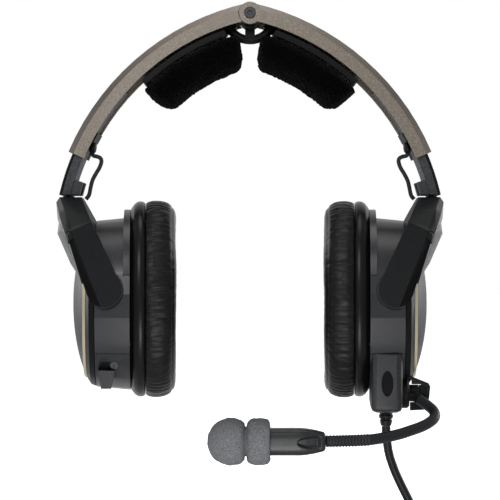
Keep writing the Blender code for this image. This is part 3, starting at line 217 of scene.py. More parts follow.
painted_alloy = speckled_paint("painted_alloy_taupe", "4B443B", "61594F", "8C8376")
# Painted shade: the bevel's paint turns dark brown towards the arms' lower ends, where less light falls on
# it.
alloy_edge_painted_shade = speckled_paint("painted_alloy_edge_painted_shade", "51493F", "675E56", "8A8073")
darker_beyond(alloy_edge_painted_shade, "3A312B", 22.0, -12.0)

# %% [markdown]
# The yokes and sliders are glass-filled nylon with a soft satin skin. It throws back little light,
# so its index of refraction is taken low. The cups are ABS from a spark-eroded mould, a little
# lighter and with a visible grain.

# %% Moulded plastics
def moulded(name, dark, light, roughness, size_mm=0.3, depth_mm=0.03, gloss=0.2):
    made, tree, shader = finish(name, light, roughness, IOR=1.4, Specular_IOR_Level=gloss)
    place = grain(tree, shader, size_mm, depth_mm)
    two_tones(tree, shader, place, 0.8, dark, light)
    rough_patches(tree, shader, place, 18.0, roughness - 0.05, roughness + 0.08)
    return made


yoke_nylon = moulded("yoke_glass_filled_nylon", "08090A", "0F1011", 0.42, gloss=0.1)
# The outer web's pale grey is a painted highlight of side light. Above -75 mm it turns black, so the
# painted highlight covers only the lower web.
web_nylon_painted_highlight = moulded("yoke_web_painted_highlight", "36383B", "4C4E52", 0.34, gloss=0.35)
darker_beyond(web_nylon_painted_highlight, "060607", -81.0, -75.0)
slider_nylon = moulded("slider_glass_filled_nylon", "222326", "333437", 0.46, gloss=0.2)
cup_abs = moulded("cup_spark_eroded_abs", "0C0D0F", "16171A", 0.33, 0.45, 0.05, gloss=0.36)
module_abs = moulded("module_spark_eroded_abs", "141517", "202123", 0.36, 0.45, 0.05, gloss=0.22)
black_edge = moulded("polished_black_bevel", "030303", "050506", 0.4, 0.5, 0.01, gloss=0.06)
rim_abs = moulded("rim_black_abs", "060607", "0B0C0D", 0.36, gloss=0.1)
inner_nylon = moulded("inner_black_nylon", "060607", "0B0C0D", 0.45, gloss=0.1)
cover_grey = moulded("cover_satin_grey_abs", "101113", "17181B", 0.42, 0.5, 0.012, gloss=0.16)
mic_shell = moulded("microphone_shell_satin_abs", "0F1011", "1A1B1C", 0.3, 0.5, 0.01, gloss=0.25)

# %% [markdown]
# The trim ring is anodised aluminium in a pale bronze. The bolts are steel with a black oxide.
# Real turned and rolled metal shows faint circular or lengthwise lines, so their noise is stretched.

# %% Metals
def lined_metal(name, code, roughness, metallic, stretch):
    made, tree, shader = finish(name, code, roughness, metallic)
    place = add(tree, "ShaderNodeTexCoord")
    turned = add(tree, "ShaderNodeMapping", {"Scale": stretch}, {"Vector": (place, "Object")})
    lines = add(tree, "ShaderNodeTexNoise", {"Scale": 1.0 / (0.4 * MM), "Detail": 2.0},
                {"Vector": (turned, 0)})
    bump = add(tree, "ShaderNodeBump", {"Strength": 0.25, "Distance": 0.02 * MM}, {"Height": (lines, 0)})
    tree.links.new(bump.outputs[0], shader.inputs["Normal"])
    spread = add(tree, "ShaderNodeMapRange", {"To Min": roughness - 0.06, "To Max": roughness + 0.1},
                 {"Value": (lines, 0)})
    tree.links.new(spread.outputs[0], shader.inputs["Roughness"])
    return made


bronze_trim = lined_metal("anodised_bronze_aluminium", "9C947F", 0.34, 0.75, (1.0, 0.15, 0.15))
oxide_steel = lined_metal("black_oxide_steel", "2E2F31", 0.36, 0.9, (1.0, 0.2, 1.0))
plug_nickel = lined_metal("nickel_plated_plug", "8C8C88", 0.28, 1.0, (1.0, 1.0, 0.15))

# %% [markdown]
# Rubber and PVC have no grain to speak of, only dust and slight unevenness. The ring behind the
# cushion is smooth satin rubber, and the gooseneck's sleeve a duller one.

# %% Rubbers
def rubber(name, code, roughness, depth_mm=0.02):
    made, tree, shader = finish(name, code, roughness, IOR=1.42, Specular_IOR_Level=0.14)
    place = grain(tree, shader, 1.2, depth_mm, 0.4)
    rough_patches(tree, shader, place, 9.0, roughness - 0.06, roughness + 0.08)
    return made


ring_rubber = rubber("cushion_ring_satin_rubber", "060607", 0.3, 0.008)
boom_rubber = rubber("gooseneck_rubber_sleeve", "141517", 0.42, 0.01)
cable_pvc = rubber("cable_satin_pvc", "0F1011", 0.38, 0.01)
grommet_rubber = rubber("grommet_rubber", "0D0E0F", 0.5)
wire_sleeve = rubber("wire_sleeve", "1E1F21", 0.45)
print("hard and rubber finishes:", [made.name for made in bpy.data.materials if made.users == 0])

# %% [markdown]
# The ear cushions are coated leather: a pebbled grain of about 0.7 mm with fine pores, black, and
# with a soft sheen on the bends. Voronoi cells give the pebbles and noise gives the pores.

# %% Leather
def cushion_leather():
    made, tree, shader = finish("cushion_soft_leather", "0A0A0B", 0.34, IOR=1.42,
                                Specular_IOR_Level=0.13, Sheen_Weight=0.3, Sheen_Roughness=0.2)
    place = add(tree, "ShaderNodeTexCoord")
    pebbles = add(tree, "ShaderNodeTexVoronoi", {"Scale": 1.0 / (0.7 * MM)}, {"Vector": (place, "Object")})
    pores = add(tree, "ShaderNodeTexNoise", {"Scale": 1.0 / (0.3 * MM), "Detail": 3.0},
                {"Vector": (place, "Object")})
    both = add(tree, "ShaderNodeMath", {"operation": "ADD"}, {0: (pebbles, 0), 1: (pores, 0)})
    bump = add(tree, "ShaderNodeBump", {"Strength": 0.55, "Distance": 0.09 * MM}, {"Height": (both, 0)})
    tree.links.new(bump.outputs[0], shader.inputs["Normal"])
    two_tones(tree, shader, place, 2.5, "060607", "0D0D0E")
    rough_patches(tree, shader, place, 6.0, 0.28, 0.46)
    return made


leather = cushion_leather()

# %% [markdown]
# The head pads are a deep black fleece, which has no gloss at all, only sheen at grazing angles.
# The windscreen is open-cell foam, grey, with cells of about half a millimetre.

# %% Fleece, foam and cloth
def fibrous(name, dark, light, cell_mm, depth_mm, sheen, texture_kind="ShaderNodeTexNoise"):
    made, tree, shader = finish(name, light, 0.95, IOR=1.2, Specular_IOR_Level=0.02, Sheen_Weight=sheen,
                                Sheen_Roughness=0.5)
    place = add(tree, "ShaderNodeTexCoord")
    cells = add(tree, texture_kind, {"Scale": 1.0 / (cell_mm * MM)}, {"Vector": (place, "Object")})
    ramp = add(tree, "ShaderNodeValToRGB", links={"Fac": (cells, 0)})
    ramp.color_ramp.elements[0].position, ramp.color_ramp.elements[1].position = 0.3, 0.7
    ramp.color_ramp.elements[0].color, ramp.color_ramp.elements[1].color = colour(dark), colour(light)
    tree.links.new(ramp.outputs[0], shader.inputs["Base Color"])
    bump = add(tree, "ShaderNodeBump", {"Strength": 1.0, "Distance": depth_mm * MM}, {"Height": (cells, 0)})
    tree.links.new(bump.outputs[0], shader.inputs["Normal"])
    return made


fleece = fibrous("pad_black_fleece", "010101", "050505", 0.9, 0.5, 0.015)
foam = fibrous("windscreen_open_cell_foam", "3E3F41", "626365", 0.5, 0.2, 0.0)
scrim_cloth = fibrous("ear_scrim_cloth", "060607", "161718", 0.8, 0.2, 0.1, "ShaderNodeTexVoronoi")

# %% [markdown]
# ## Studio
# The set hangs over a white floor in white surroundings. Lamps stay soft and at a plain level. The
# background is white because the world shows white to the camera and to reflections, not because
# more light falls on the headset. Two lamps behind the sides light the edges, and a small one low in
# front, just above the floor, draws the highlight on the lower cups.

# %% World, floor and lamps
WORLD_LEVEL = 0.34
FLOOR_DROP = 0.004


def white_world():
    world = bpy.data.worlds.new("studio")
    scene.world = world
    world.use_nodes = True
    tree = world.node_tree
    tree.nodes.clear()
    path = add(tree, "ShaderNodeLightPath")
    seen = add(tree, "ShaderNodeMath", {"operation": "MAXIMUM"},
               {0: (path, "Is Camera Ray"), 1: (path, "Is Transmission Ray")})
    shown = add(tree, "ShaderNodeMath", {"operation": "MAXIMUM"},
                {0: (seen, 0), 1: (path, "Is Glossy Ray")})
    level = add(tree, "ShaderNodeMapRange", {"To Min": WORLD_LEVEL, "To Max": 1.0}, {"Value": (shown, 0)})
    light = add(tree, "ShaderNodeBackground", {"Color": (1.0, 1.0, 1.0, 1.0)}, {"Strength": (level, 0)})
    add(tree, "ShaderNodeOutputWorld", links={"Surface": (light, 0)})


def studio_floor():
    bm = bmesh.new()
    bmesh.ops.create_grid(bm, x_segments=1, y_segments=1, size=6.0)
    bmesh.ops.translate(bm, verts=bm.verts, vec=(0.0, 0.0, cad_low[2] - FLOOR_DROP))
    mesh = bpy.data.meshes.new("floor")
    bm.to_mesh(mesh)
    bm.free()
    floor = bpy.data.objects.new("floor", mesh)
    scene.collection.objects.link(floor)
    made, tree, shader = finish("white_studio_floor", "F2F2F2", 0.8)
    path = add(tree, "ShaderNodeLightPath")
    glow = add(tree, "ShaderNodeMath", {"operation": "MULTIPLY", 1: 0.7}, {0: (path, "Is Camera Ray")})
    shader.inputs["Emission Color"].default_value = (1.0, 1.0, 1.0, 1.0)
    tree.links.new(glow.outputs[0], shader.inputs["Emission Strength"])
    floor.data.materials.append(made)


def soft_lamp(name, place, aim, size, watts):
    data = bpy.data.lights.new(name, "AREA")
    data.shape, data.size, data.energy = "DISK", size, watts
    lamp = bpy.data.objects.new(name, data)
    scene.collection.objects.link(lamp)
    lamp.location = place
    lamp.rotation_euler = (Vector(aim) - Vector(place)).to_track_quat("-Z", "Y").to_euler()


white_world()
studio_floor()
soft_lamp("left_lamp", (-1.0, 0.55, 0.15), (0.0, 0.0, -0.1), 0.8, 9.0)
soft_lamp("right_lamp", (1.0, 0.55, 0.15), (0.0, 0.0, -0.1), 0.8, 9.0)
soft_lamp("front_lamp", (-0.3, -1.2, 0.5), (0.0, 0.0, -0.1), 0.45, 10.0)
soft_lamp("low_lamp", (0.0, -0.33, -0.28), (0.0, -0.03, -0.12), 0.14, 0.9)
soft_lamp("top_lamp", (0.0, -0.2, 1.3), (0.0, 0.0, -0.1), 0.8, 8.0)
print("lamps in W:", {lamp.name: round(lamp.energy, 2) for lamp in bpy.data.lights})

# %% [markdown]
# ## Placing pieces
# Everything is modelled in millimetres on the wearer's left side, with the cup square to the axes.
# The finished cups toe in by four degrees about their upright pins, and the right side is the
# mirror image. One function makes an object of a mesh, and hides the CAD parts it stands for.

# %% From mesh to piece
TOE_IN = math.radians(4.0)
SWIVEL_X = 92.5
toe = (Matrix.Translation((SWIVEL_X, 0.0, 0.0)) @ Matrix.Rotation(-TOE_IN, 4, "Z")
       @ Matrix.Translation((-SWIVEL_X, 0.0, 0.0)))
mirror = Matrix.Diagonal((-1.0, 1.0, 1.0, 1.0))


def piece(bm, name, body, surface, nodes, sharp=35.0, placed=None):
    """Turn a mesh in millimetres into a piece on a body, or on none if no body is given."""
    bmesh.ops.transform(bm, matrix=Matrix.Scale(MM, 4) @ (placed or Matrix()), verts=bm.verts)
    if placed is not None and placed.determinant() < 0.0:
        bmesh.ops.reverse_faces(bm, faces=bm.faces)
    mesh = bpy.data.meshes.new(name)
    bm.to_mesh(mesh)
    bm.free()
    mesh.shade_smooth()
    mesh.set_sharp_from_angle(angle=math.radians(sharp))
    made = bpy.data.objects.new(name, mesh)
    scene.collection.objects.link(made)
    for material in surface if isinstance(surface, (list, tuple)) else [surface]:
        mesh.materials.append(material)
    if body:
        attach(made, body)
    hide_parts(*nodes)
    print(f"{name}: {len(mesh.polygons)} faces")
    return made


def each_side(build, name, body, surface, toed=True):
    """Make a piece for the left side, and its mirror image for the right side."""
    for side, flip in (("left", Matrix()), ("right", mirror)):
        piece(build(), f"{name}_{side}_piece", f"{body}_{side}", surface, (f"{name}_{side}",),
              placed=flip @ (toe if toed else Matrix()))


# %% [markdown]
# ## CAD parts with soft edges
# A moulded or cast part has no knife edges. The CAD parts are right in shape but faceted, so a copy
# is merged, its flat faces are joined, and a Bevel modifier rounds the edges. Faces that meet at a
# shallow angle are shaded as one surface, and Weighted Normal keeps the large ones even.

# %% Rounded copies of CAD parts
SHARP = 32.0  # degrees from which an edge is a real one


def rounded(node, surface, edge_mm, segments=2, pick=None):
    """A copy of a CAD part with rounded edges. pick(centre, normal) gives a face its material."""
    bm = bmesh.new()
    bm.from_mesh(frame["nodes"][node].data)
    bmesh.ops.remove_doubles(bm, verts=bm.verts, dist=0.002 * MM)
    bmesh.ops.dissolve_limit(bm, angle_limit=math.radians(1.0), verts=bm.verts, edges=bm.edges)
    bmesh.ops.scale(bm, vec=(1.0 / MM,) * 3, verts=bm.verts)
    if pick:
        for face in bm.faces:
            face.material_index = int(pick(face.calc_center_median(), face.normal))
    body = frame["nodes"][node]["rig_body"]
    made = piece(bm, f"{node}_piece", body, surface, (node,), sharp=SHARP)
    if edge_mm:
        bevel = made.modifiers.new("soft_edges", "BEVEL")
        bevel.width = edge_mm * MM
        bevel.segments = segments
        bevel.limit_method = "ANGLE"
        bevel.angle_limit = math.radians(SHARP)
        even = made.modifiers.new("even_shading", "WEIGHTED_NORMAL")
        even.keep_sharp = True
    return made


# %% [markdown]
# Most of the new shapes are lofts: a row of closed loops, each bridged to the next. Round parts that
# follow a route, such as the gooseneck and the loop wires, are circles. Each circle turns as little
# as it can from the last, so the tube never twists.

# %% Lofts and tubes along a route
def edges_of(ring):
    """The edges between the vertices of a new circle."""
    return list({edge for vert in ring for edge in vert.link_edges})


def join_loops(bm, loops, closed=False):
    """Bridge each loop to the next. Close the row to a ring, or cap its ends."""
    for low, high in zip(loops, loops[1:] + ([loops[0]] if closed else [])):
        bmesh.ops.bridge_loops(bm, edges=low + high)
    if not closed:
        for loop in (loops[0], loops[-1]):
            bmesh.ops.contextual_create(bm, geom=loop)
    bmesh.ops.recalc_face_normals(bm, faces=bm.faces)


def lathe_along(bm, route, radii, sides=28):
    """Bridge circles square to a route. Every ring turns as little as it can from the last."""
    route = [Vector(point) for point in route]
    loops, up = [], Vector((0.0, 0.0, 1.0))
    for i, (point, radius) in enumerate(zip(route, radii)):
        ahead = (route[min(i + 1, len(route) - 1)] - route[max(i - 1, 0)]).normalized()
        across = up.cross(ahead).normalized()
        up = ahead.cross(across).normalized()
        ring = bmesh.ops.create_circle(bm, segments=sides, radius=radius)["verts"]
        turn = Matrix((across, up, ahead)).transposed().to_4x4()
        turn.translation = point
        bmesh.ops.transform(bm, matrix=turn, verts=ring)
        loops.append(edges_of(ring))
    join_loops(bm, loops)


# %% [markdown]
# ## The cable
# The cable leaves the strain relief under the left cup, bends outwards and hangs. The photograph's
# lower edge cuts it off, so the rest of its length is wound in a tied coil just below the view. It
# is one curve from end to end: the hanging stretch, eight turns in a bundle, and the tail. Each
# turn changes its place in the bundle over the same quarter, so the turns never cross each other.

# %% Cable route and coil
CABLE_RADIUS = 2.2
CABLE_ROUTE = (
    (68.0, -13.3, -178.9), (68.2, -13.3, -183.5), (68.7, -13.4, -188.0), (69.5, -13.6, -192.8),
    (71.0, -13.8, -197.6), (73.1, -14.1, -203.0), (75.8, -14.5, -208.8), (78.8, -14.8, -214.8),
    (82.0, -15.0, -221.4), (85.2, -15.0, -228.8), (87.6, -15.0, -235.6),
)
TAIL_ROUTE = ((88.9, -24.4, -259.0), (89.4, -24.9, -263.5), (89.7, -25.2, -268.0), (89.8, -25.2, -272.5))
CABLE_STEP = 4.0
COIL_CENTRE = (61.9, -15.0, -256.8)
COIL_RADIUS = 27.0
COIL_START = 27.0  # degrees
COIL_TURNS = 8
COIL_STEPS = 40
COIL_CHANGE = 0.7  # share of a turn after which it changes its place in the bundle
BUNDLE_RADIUS = 5.85
BUNDLE_EXIT = (3.51, -9.15)


def bundle_place(turn):
    """Where a turn lies in the bundle's section: outwards, and towards the back."""
    if turn == COIL_TURNS:
        return BUNDLE_EXIT
    angle = math.tau * turn / COIL_TURNS
    return BUNDLE_RADIUS * math.cos(angle), BUNDLE_RADIUS * math.sin(angle)


def coil_points():
    points = []
    for step in range(COIL_TURNS * COIL_STEPS + 1):
        turn = min(step // COIL_STEPS, COIL_TURNS - 1)
        share = step / COIL_STEPS - turn
        change = max(0.0, (share - COIL_CHANGE) / (1.0 - COIL_CHANGE))
        change = change * change * (3.0 - 2.0 * change)
        out, deep = [a + (b - a) * change for a, b in zip(bundle_place(turn), bundle_place(turn + 1))]
        angle = math.radians(COIL_START) - math.tau * step / COIL_STEPS
        away = COIL_RADIUS + out
        points.append((COIL_CENTRE[0] + away * math.cos(angle), COIL_CENTRE[1] + deep,
                       COIL_CENTRE[2] + away * math.sin(angle)))
    return points


def smooth_route(points, spacing):
    """Even points along a smooth curve through the given ones."""
    points = [Vector(point) for point in points]
    points = [2 * points[0] - points[1]] + points + [2 * points[-1] - points[-2]]
    fine = []
    for a, b, c, d in zip(points, points[1:], points[2:], points[3:]):
        for i in range(12):
            t = i / 12.0
            fine.append(0.5 * ((2 * b) + (c - a) * t + (2 * a - 5 * b + 4 * c - d) * t * t
                               + (3 * b - a - 3 * c + d) * t ** 3))
    fine.append(points[-2])
    total = sum((q - p).length for p, q in zip(fine, fine[1:]))
    count = max(2, round(total / spacing))
    route, walked, wanted = [fine[0]], 0.0, total / count
    for p, q in zip(fine, fine[1:]):
        step = (q - p).length
        while walked + step >= wanted - 1e-9 and len(route) < count:
            route.append(p.lerp(q, (wanted - walked) / step))
            wanted += total / count
        walked += step
    return route + [fine[-1]]


def hanging_cable():
    route = smooth_route([*CABLE_ROUTE, *coil_points(), *TAIL_ROUTE], CABLE_STEP)
    curve = bpy.data.curves.new("cable", "CURVE")
    curve.dimensions = "3D"
    curve.bevel_depth = CABLE_RADIUS * MM
    curve.bevel_resolution = 5
    curve.use_fill_caps = True
    spline = curve.splines.new("POLY")
    spline.points.add(len(route) - 1)
    for made, point in zip(spline.points, route):
        made.co = (*(point * MM), 1.0)
    curve.materials.append(cable_pvc)
    cable = bpy.data.objects.new("cable_piece", curve)
    scene.collection.objects.link(cable)
    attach(cable, "cup_left")
    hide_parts("down_cable", "cable_coil", "cable_tail")
    length = sum((q - p).length for p, q in zip(route, route[1:]))
    print("cable length in mm:", round(length, 1))
    return cable


cable = hanging_cable()

# %% [markdown]
# A strap of rubber holds the bundle. It is a flat band bent round the turns, so it starts as a
# circle of the bundle's size, is extruded to its width and gets its thickness from Solidify.

# %% Cable strap
TIE_ANGLE = math.radians(150.0)
TIE_WIDTH = 6.4
TIE_THICK = 1.0
TIE_ROOM = 0.35


def cable_strap():
    bm = bmesh.new()
    bmesh.ops.create_circle(bm, segments=40, radius=BUNDLE_RADIUS + CABLE_RADIUS + TIE_ROOM)
    made = bmesh.ops.extrude_edge_only(bm, edges=bm.edges[:])
    verts = [item for item in made["geom"] if isinstance(item, bmesh.types.BMVert)]
    bmesh.ops.translate(bm, verts=verts, vec=(0.0, 0.0, TIE_WIDTH))
    bmesh.ops.translate(bm, verts=bm.verts, vec=(0.0, 0.0, -TIE_WIDTH / 2.0))
    bmesh.ops.recalc_face_normals(bm, faces=bm.faces)
    bmesh.ops.solidify(bm, geom=bm.faces[:], thickness=-TIE_THICK)
    bmesh.ops.recalc_face_normals(bm, faces=bm.faces)
    along = Vector((-math.sin(TIE_ANGLE), 0.0, math.cos(TIE_ANGLE)))
    out = Vector((math.cos(TIE_ANGLE), 0.0, math.sin(TIE_ANGLE)))
    turn = along.to_track_quat("Z", "Y").to_matrix().to_4x4()
    turn.translation = Vector(COIL_CENTRE) + out * COIL_RADIUS
    bmesh.ops.transform(bm, matrix=turn, verts=bm.verts)
    return piece(bm, "cable_strap_piece", "cup_left", grommet_rubber, ("cable_tie",))


strap = cable_strap()
plug = rounded("cable_plug", plug_nickel, 0.3)

# %% [markdown]
# ## Ear cups: ovals along an axis
# Every ring of the cup is the same rounded oval at another size: a circle whose vertices are moved
# out to the oval. A power of 2 would give an ellipse, and a higher one gives squarer corners.
# Ninety-six sides look smooth.

# %% Oval loops
CUP_Z = -118.0
CUSHION_Z = -115.7
OVAL_POWER = 2.3


def oval_points(sides, power):
    """Points (across, up) round an oval whose half sizes are 1."""
    points = []
    for i in range(sides):
        across, up = math.cos(math.tau * i / sides), math.sin(math.tau * i / sides)
        grow = (abs(across) ** power + abs(up) ** power) ** (-1.0 / power)
        points.append((across * grow, up * grow))
    return points


def oval_loop(bm, x, half_height, half_depth, centre_z=CUP_Z, sides=96, power=OVAL_POWER):
    ring = bmesh.ops.create_circle(bm, segments=sides, radius=1.0)["verts"]
    for vert, (across, up) in zip(ring, oval_points(sides, power)):
        vert.co = (x, half_depth * across, centre_z + half_height * up)
    return edges_of(ring)


def oval_loft(sections, closed=False, centre_z=CUP_Z, sides=96):
    """Bridge ovals at (x, half height, half depth). Closed makes a ring, otherwise ends are capped."""
    bm = bmesh.new()
    join_loops(bm, [oval_loop(bm, *section, centre_z, sides) for section in sections], closed)
    return bm


# %% [markdown]
# The outer cover is a shallow satin dome with one fine parting line across it. Its trim ring is
# bronze anodised, with a small bevel that catches the light.

# %% Outer cover and trim ring
DOME = (35.8, 29.8, 82.6, 83.3, 90.0, 0.85)  # half height, half depth, back, rim, peak, power
DOME_STEPS = 19
TRIM = (37.6, 31.6, 82.6, 84.0, 1.5)  # half height, half depth, back, front, width
TRIM_EDGE, TRIM_DRAFT = 0.35, 0.2
PARTING = (-112.0, 1.55, 0.22)  # height at Y = 0, slope along Y, half width


def outer_dome():
    height, depth, back, rim, peak, power = DOME
    sections = [(back, height, depth), (rim - 0.2, height, depth)]
    for i in range(1, DOME_STEPS):
        share = math.cos(math.pi / 2.0 * i / DOME_STEPS)
        rise = rim + (peak - rim) * (1.0 - share ** 2) ** power
        sections.append((rise, height * share, depth * share))
    sections.append((peak, height * 0.02, depth * 0.02))
    return oval_loft(sections)


def bronze_ring():
    height, depth, back, front, width = TRIM
    outlines = (
        (back, 0.0), (front - TRIM_EDGE, TRIM_DRAFT), (front, TRIM_DRAFT + TRIM_EDGE),
        (front, width - TRIM_EDGE), (front - TRIM_EDGE, width), (back, width),
    )
    return oval_loft([(x, height - inset, depth - inset) for x, inset in outlines], closed=True)


def parting_line(tree, parts):
    """1 on a hairline where a slanting plane cuts the dome, 0 beside it."""
    crossing, slope, half_width = PARTING
    tilt = add(tree, "ShaderNodeMath", {"operation": "MULTIPLY_ADD", 1: slope, 2: crossing * MM},
               {0: (parts, 1)})
    off = add(tree, "ShaderNodeMath", {"operation": "SUBTRACT"}, {0: (parts, 2), 1: (tilt, 0)})
    near = add(tree, "ShaderNodeMath", {"operation": "ABSOLUTE"}, {0: (off, 0)})
    return add(tree, "ShaderNodeMath", {"operation": "LESS_THAN", 1: half_width * MM}, {0: (near, 0)})


paint_over(cover_grey, "151617", parting_line)
each_side(outer_dome, "outer_cover", "cup", cover_grey)
each_side(bronze_ring, "trim_ring", "cup", bronze_trim)
for side in ("left", "right"):
    rounded(f"cover_rim_{side}", rim_abs, 0.3)
    rounded(f"cup_shell_{side}", cup_abs, 0.3)

# %% [markdown]
# The ring that clips the cushion on is smooth rubber, round in section, with a deep dark gap
# towards the cup.

# %% Cushion ring
RING_SECTION = (
    (53.4, 40.0, 30.0), (53.4, 48.6, 37.7), (53.8, 49.2, 38.2), (54.8, 49.7, 38.6), (56.2, 49.8, 38.7),
    (57.6, 49.4, 38.3), (58.8, 48.5, 37.6), (59.8, 47.2, 36.8), (60.5, 46.2, 36.2), (60.5, 40.0, 30.0),
)
each_side(lambda: oval_loft(RING_SECTION, closed=True, centre_z=CUSHION_Z), "cushion_ring", "cup",
          ring_rubber)

# %% [markdown]
# ## Ear cushions
# A cushion is a foam ring under thin leather. It bulges between the seam at the ring and the seam
# at its inner face. The leather is gathered at the ring, so it puckers: narrow creases run across
# the outer side every few millimetres, deepest at the ring, and fade before the inner seam. They
# are real shape, made by moving the mesh along its own normals.

# %% Puckered cushions
CUSHION = (49.8, 39.0, 30.5, 19.5)  # outer half sizes, then the hole's
CUSHION_X = (53.1, 38.3)  # at the ring and at the head
CUSHION_CORNER = 4.0
CUSHION_SIDES = 480
CUSHION_ROWS = 41
CUSHION_ROUND = 280.0
CREASE_SPACING = 4.1
CREASE_DEPTH = 1.0
MINOR_SPACING = 2.3
GATHER_ANGLE = math.radians(38.0)
SEAM_ANGLE = math.radians(52.0)
SEAM_DEPTH = 0.5
SMOOTH_BELOW, SMOOTH_ABOVE = math.radians(-24.0), math.radians(195.0)  # beyond, it lies on the ring


def cushion_section():
    """(x, place from -1 at the hole to 1 at the outer edge, angle) round the bulge."""
    corner, front = CUSHION_X[0] - CUSHION_CORNER, CUSHION_X[1]
    rows = []
    for i in range(CUSHION_ROWS):
        angle = math.radians(-30.0 + 240.0 * i / (CUSHION_ROWS - 1))
        across = math.copysign(abs(math.cos(angle)) ** 0.8, math.cos(angle))
        if math.sin(angle) < 0.0:
            x = corner + CUSHION_CORNER * (abs(math.sin(angle)) / 0.5) ** 1.2
        else:
            x = corner - (corner - front) * math.sin(angle) ** 0.75
        rows.append((x, across, angle))
    return rows


def pucker(round_mm, angle, seed):
    """Depth of the creases, 0 on the pillows between them and 1 in the deepest."""
    wander = noise.noise(Vector((round_mm / 13.0, seed, 0.0))) * 1.3
    wander += noise.noise(Vector((round_mm / 5.0, angle * 0.8, seed))) * 0.22
    valley = (1.0 - abs(math.sin(math.pi * (round_mm / CREASE_SPACING + wander)))) ** 2.4
    deep = 0.55 + 0.9 * noise.noise(Vector((round_mm / 6.0, seed + 4.0, 0.0)))
    minor = (1.0 - abs(math.sin(math.pi * (round_mm / MINOR_SPACING + 2.0 * wander + angle)))) ** 2.0
    return valley * max(0.12, deep) + 0.22 * minor


def puckered_cushion(seed):
    high, deep, hole_high, hole_deep = CUSHION
    rows = cushion_section()
    sections = []
    for x, across, angle in rows:
        share = (across + 1.0) / 2.0
        sections.append((x, hole_high + (high - hole_high) * share,
                         hole_deep + (deep - hole_deep) * share))
    bm = oval_loft(sections, closed=True, centre_z=CUSHION_Z, sides=CUSHION_SIDES)
    bm.normal_update()
    bm.verts.ensure_lookup_table()
    moves = []
    for row, (x, across, angle) in enumerate(rows):
        gather = 1.0 / (1.0 + math.exp((angle - GATHER_ANGLE) / 0.13)) + 0.10
        seam = math.exp(-((angle - SEAM_ANGLE) / 0.07) ** 2)
        for i in range(CUSHION_SIDES):
            vert = bm.verts[row * CUSHION_SIDES + i]
            round_mm = CUSHION_ROUND * i / CUSHION_SIDES
            push = 0.25 - pucker(round_mm, angle, seed) * gather * CREASE_DEPTH - SEAM_DEPTH * seam
            push += 0.35 * noise.noise(Vector((round_mm / 21.0, angle, seed + 5.0)))
            fine = noise.noise(Vector((round_mm / 1.6, angle * 6.0, seed + 3.0)))
            push += 0.10 * fine * (1.0 - 0.5 * seam)
            if not SMOOTH_BELOW <= angle <= SMOOTH_ABOVE:
                push = 0.0
            moves.append((vert, vert.normal * push))
    for vert, move in moves:
        vert.co += move
    return bm


for side, flip, seed in (("left", Matrix(), 1.7), ("right", mirror, 8.3)):
    cushion = piece(puckered_cushion(seed), f"ear_cushion_{side}_piece", f"cup_{side}", leather,
                    (f"ear_cushion_{side}",), sharp=180.0, placed=flip @ toe)
    frame["nodes"][f"ear_scrim_{side}"].data.materials[0] = scrim_cloth
    frame["nodes"][f"baffle_{side}"].data.materials[0] = inner_nylon

# %% [markdown]
# ## Arms
# The two arms keep their CAD shape. The wide outer bevel of each faces the camera at a slant, and
# towards the arm's lower end it is painted a darker brown than the flat wall below it: painted shade. A
# face belongs to the bevel if it lies far out on the arc and its normal slants, so those faces get the
# paint with the painted shade.

# %% Arms and hinge
ARC_CENTRE = (-26.4, -91.3)  # X and Z, for the left arm
BEVEL_FROM = 124.8  # distance from the arc's centre


def outer_bevel(sign):
    def chosen(centre, normal):
        far = math.hypot(sign * centre.x - ARC_CENTRE[0], centre.z - ARC_CENTRE[1]) > BEVEL_FROM
        return far and 0.25 < abs(normal.y) < 0.9
    return chosen


for side, sign in (("left", 1.0), ("right", -1.0)):
    rounded(f"head_band_{side}", [painted_alloy, alloy_edge_painted_shade], 0.4, pick=outer_bevel(sign))
for node in ("hinge_bolt", "hinge_nut"):
    rounded(node, oxide_steel, 0.15)
rounded("head_bridge", inner_nylon, 0.3)
rounded("torsion_spring", oxide_steel, 0.0)

# %% [markdown]
# ## Head pads
# Each pad is a soft bar of fleece that follows the arm's arc. It is a loft of rounded sections along
# the arc. Subdivision gives it enough vertices for noise to rough up its pile, which breaks the
# outline up as real fleece does.

# %% Fleece pads
PAD_OUTER = 114.6
PAD_THICK = 17.2
PAD_ANGLES = (45.4, 73.5)
PAD_HALF_WIDTH = 18.0
PAD_CROWN = 3.6
PAD_POWER = 3.2
PAD_SKIN = 0.4
PAD_END = 0.13  # share of the length over which an end rounds off
PAD_SIDES = 60
PAD_STEPS = 64


def pad_section(swell):
    """Rounded section as (depth below the outer face, Y), crowned on the head's side."""
    points = []
    for across, down in oval_points(PAD_SIDES, PAD_POWER):
        depth = PAD_THICK / 2.0 * (1.0 + down)
        if down > 0.0:
            depth -= PAD_CROWN * across ** 2 * down
        points.append((depth * (0.3 + 0.7 * swell) + 0.6 * (1.0 - swell),
                       PAD_HALF_WIDTH * across * (0.5 + 0.5 * swell)))
    return points


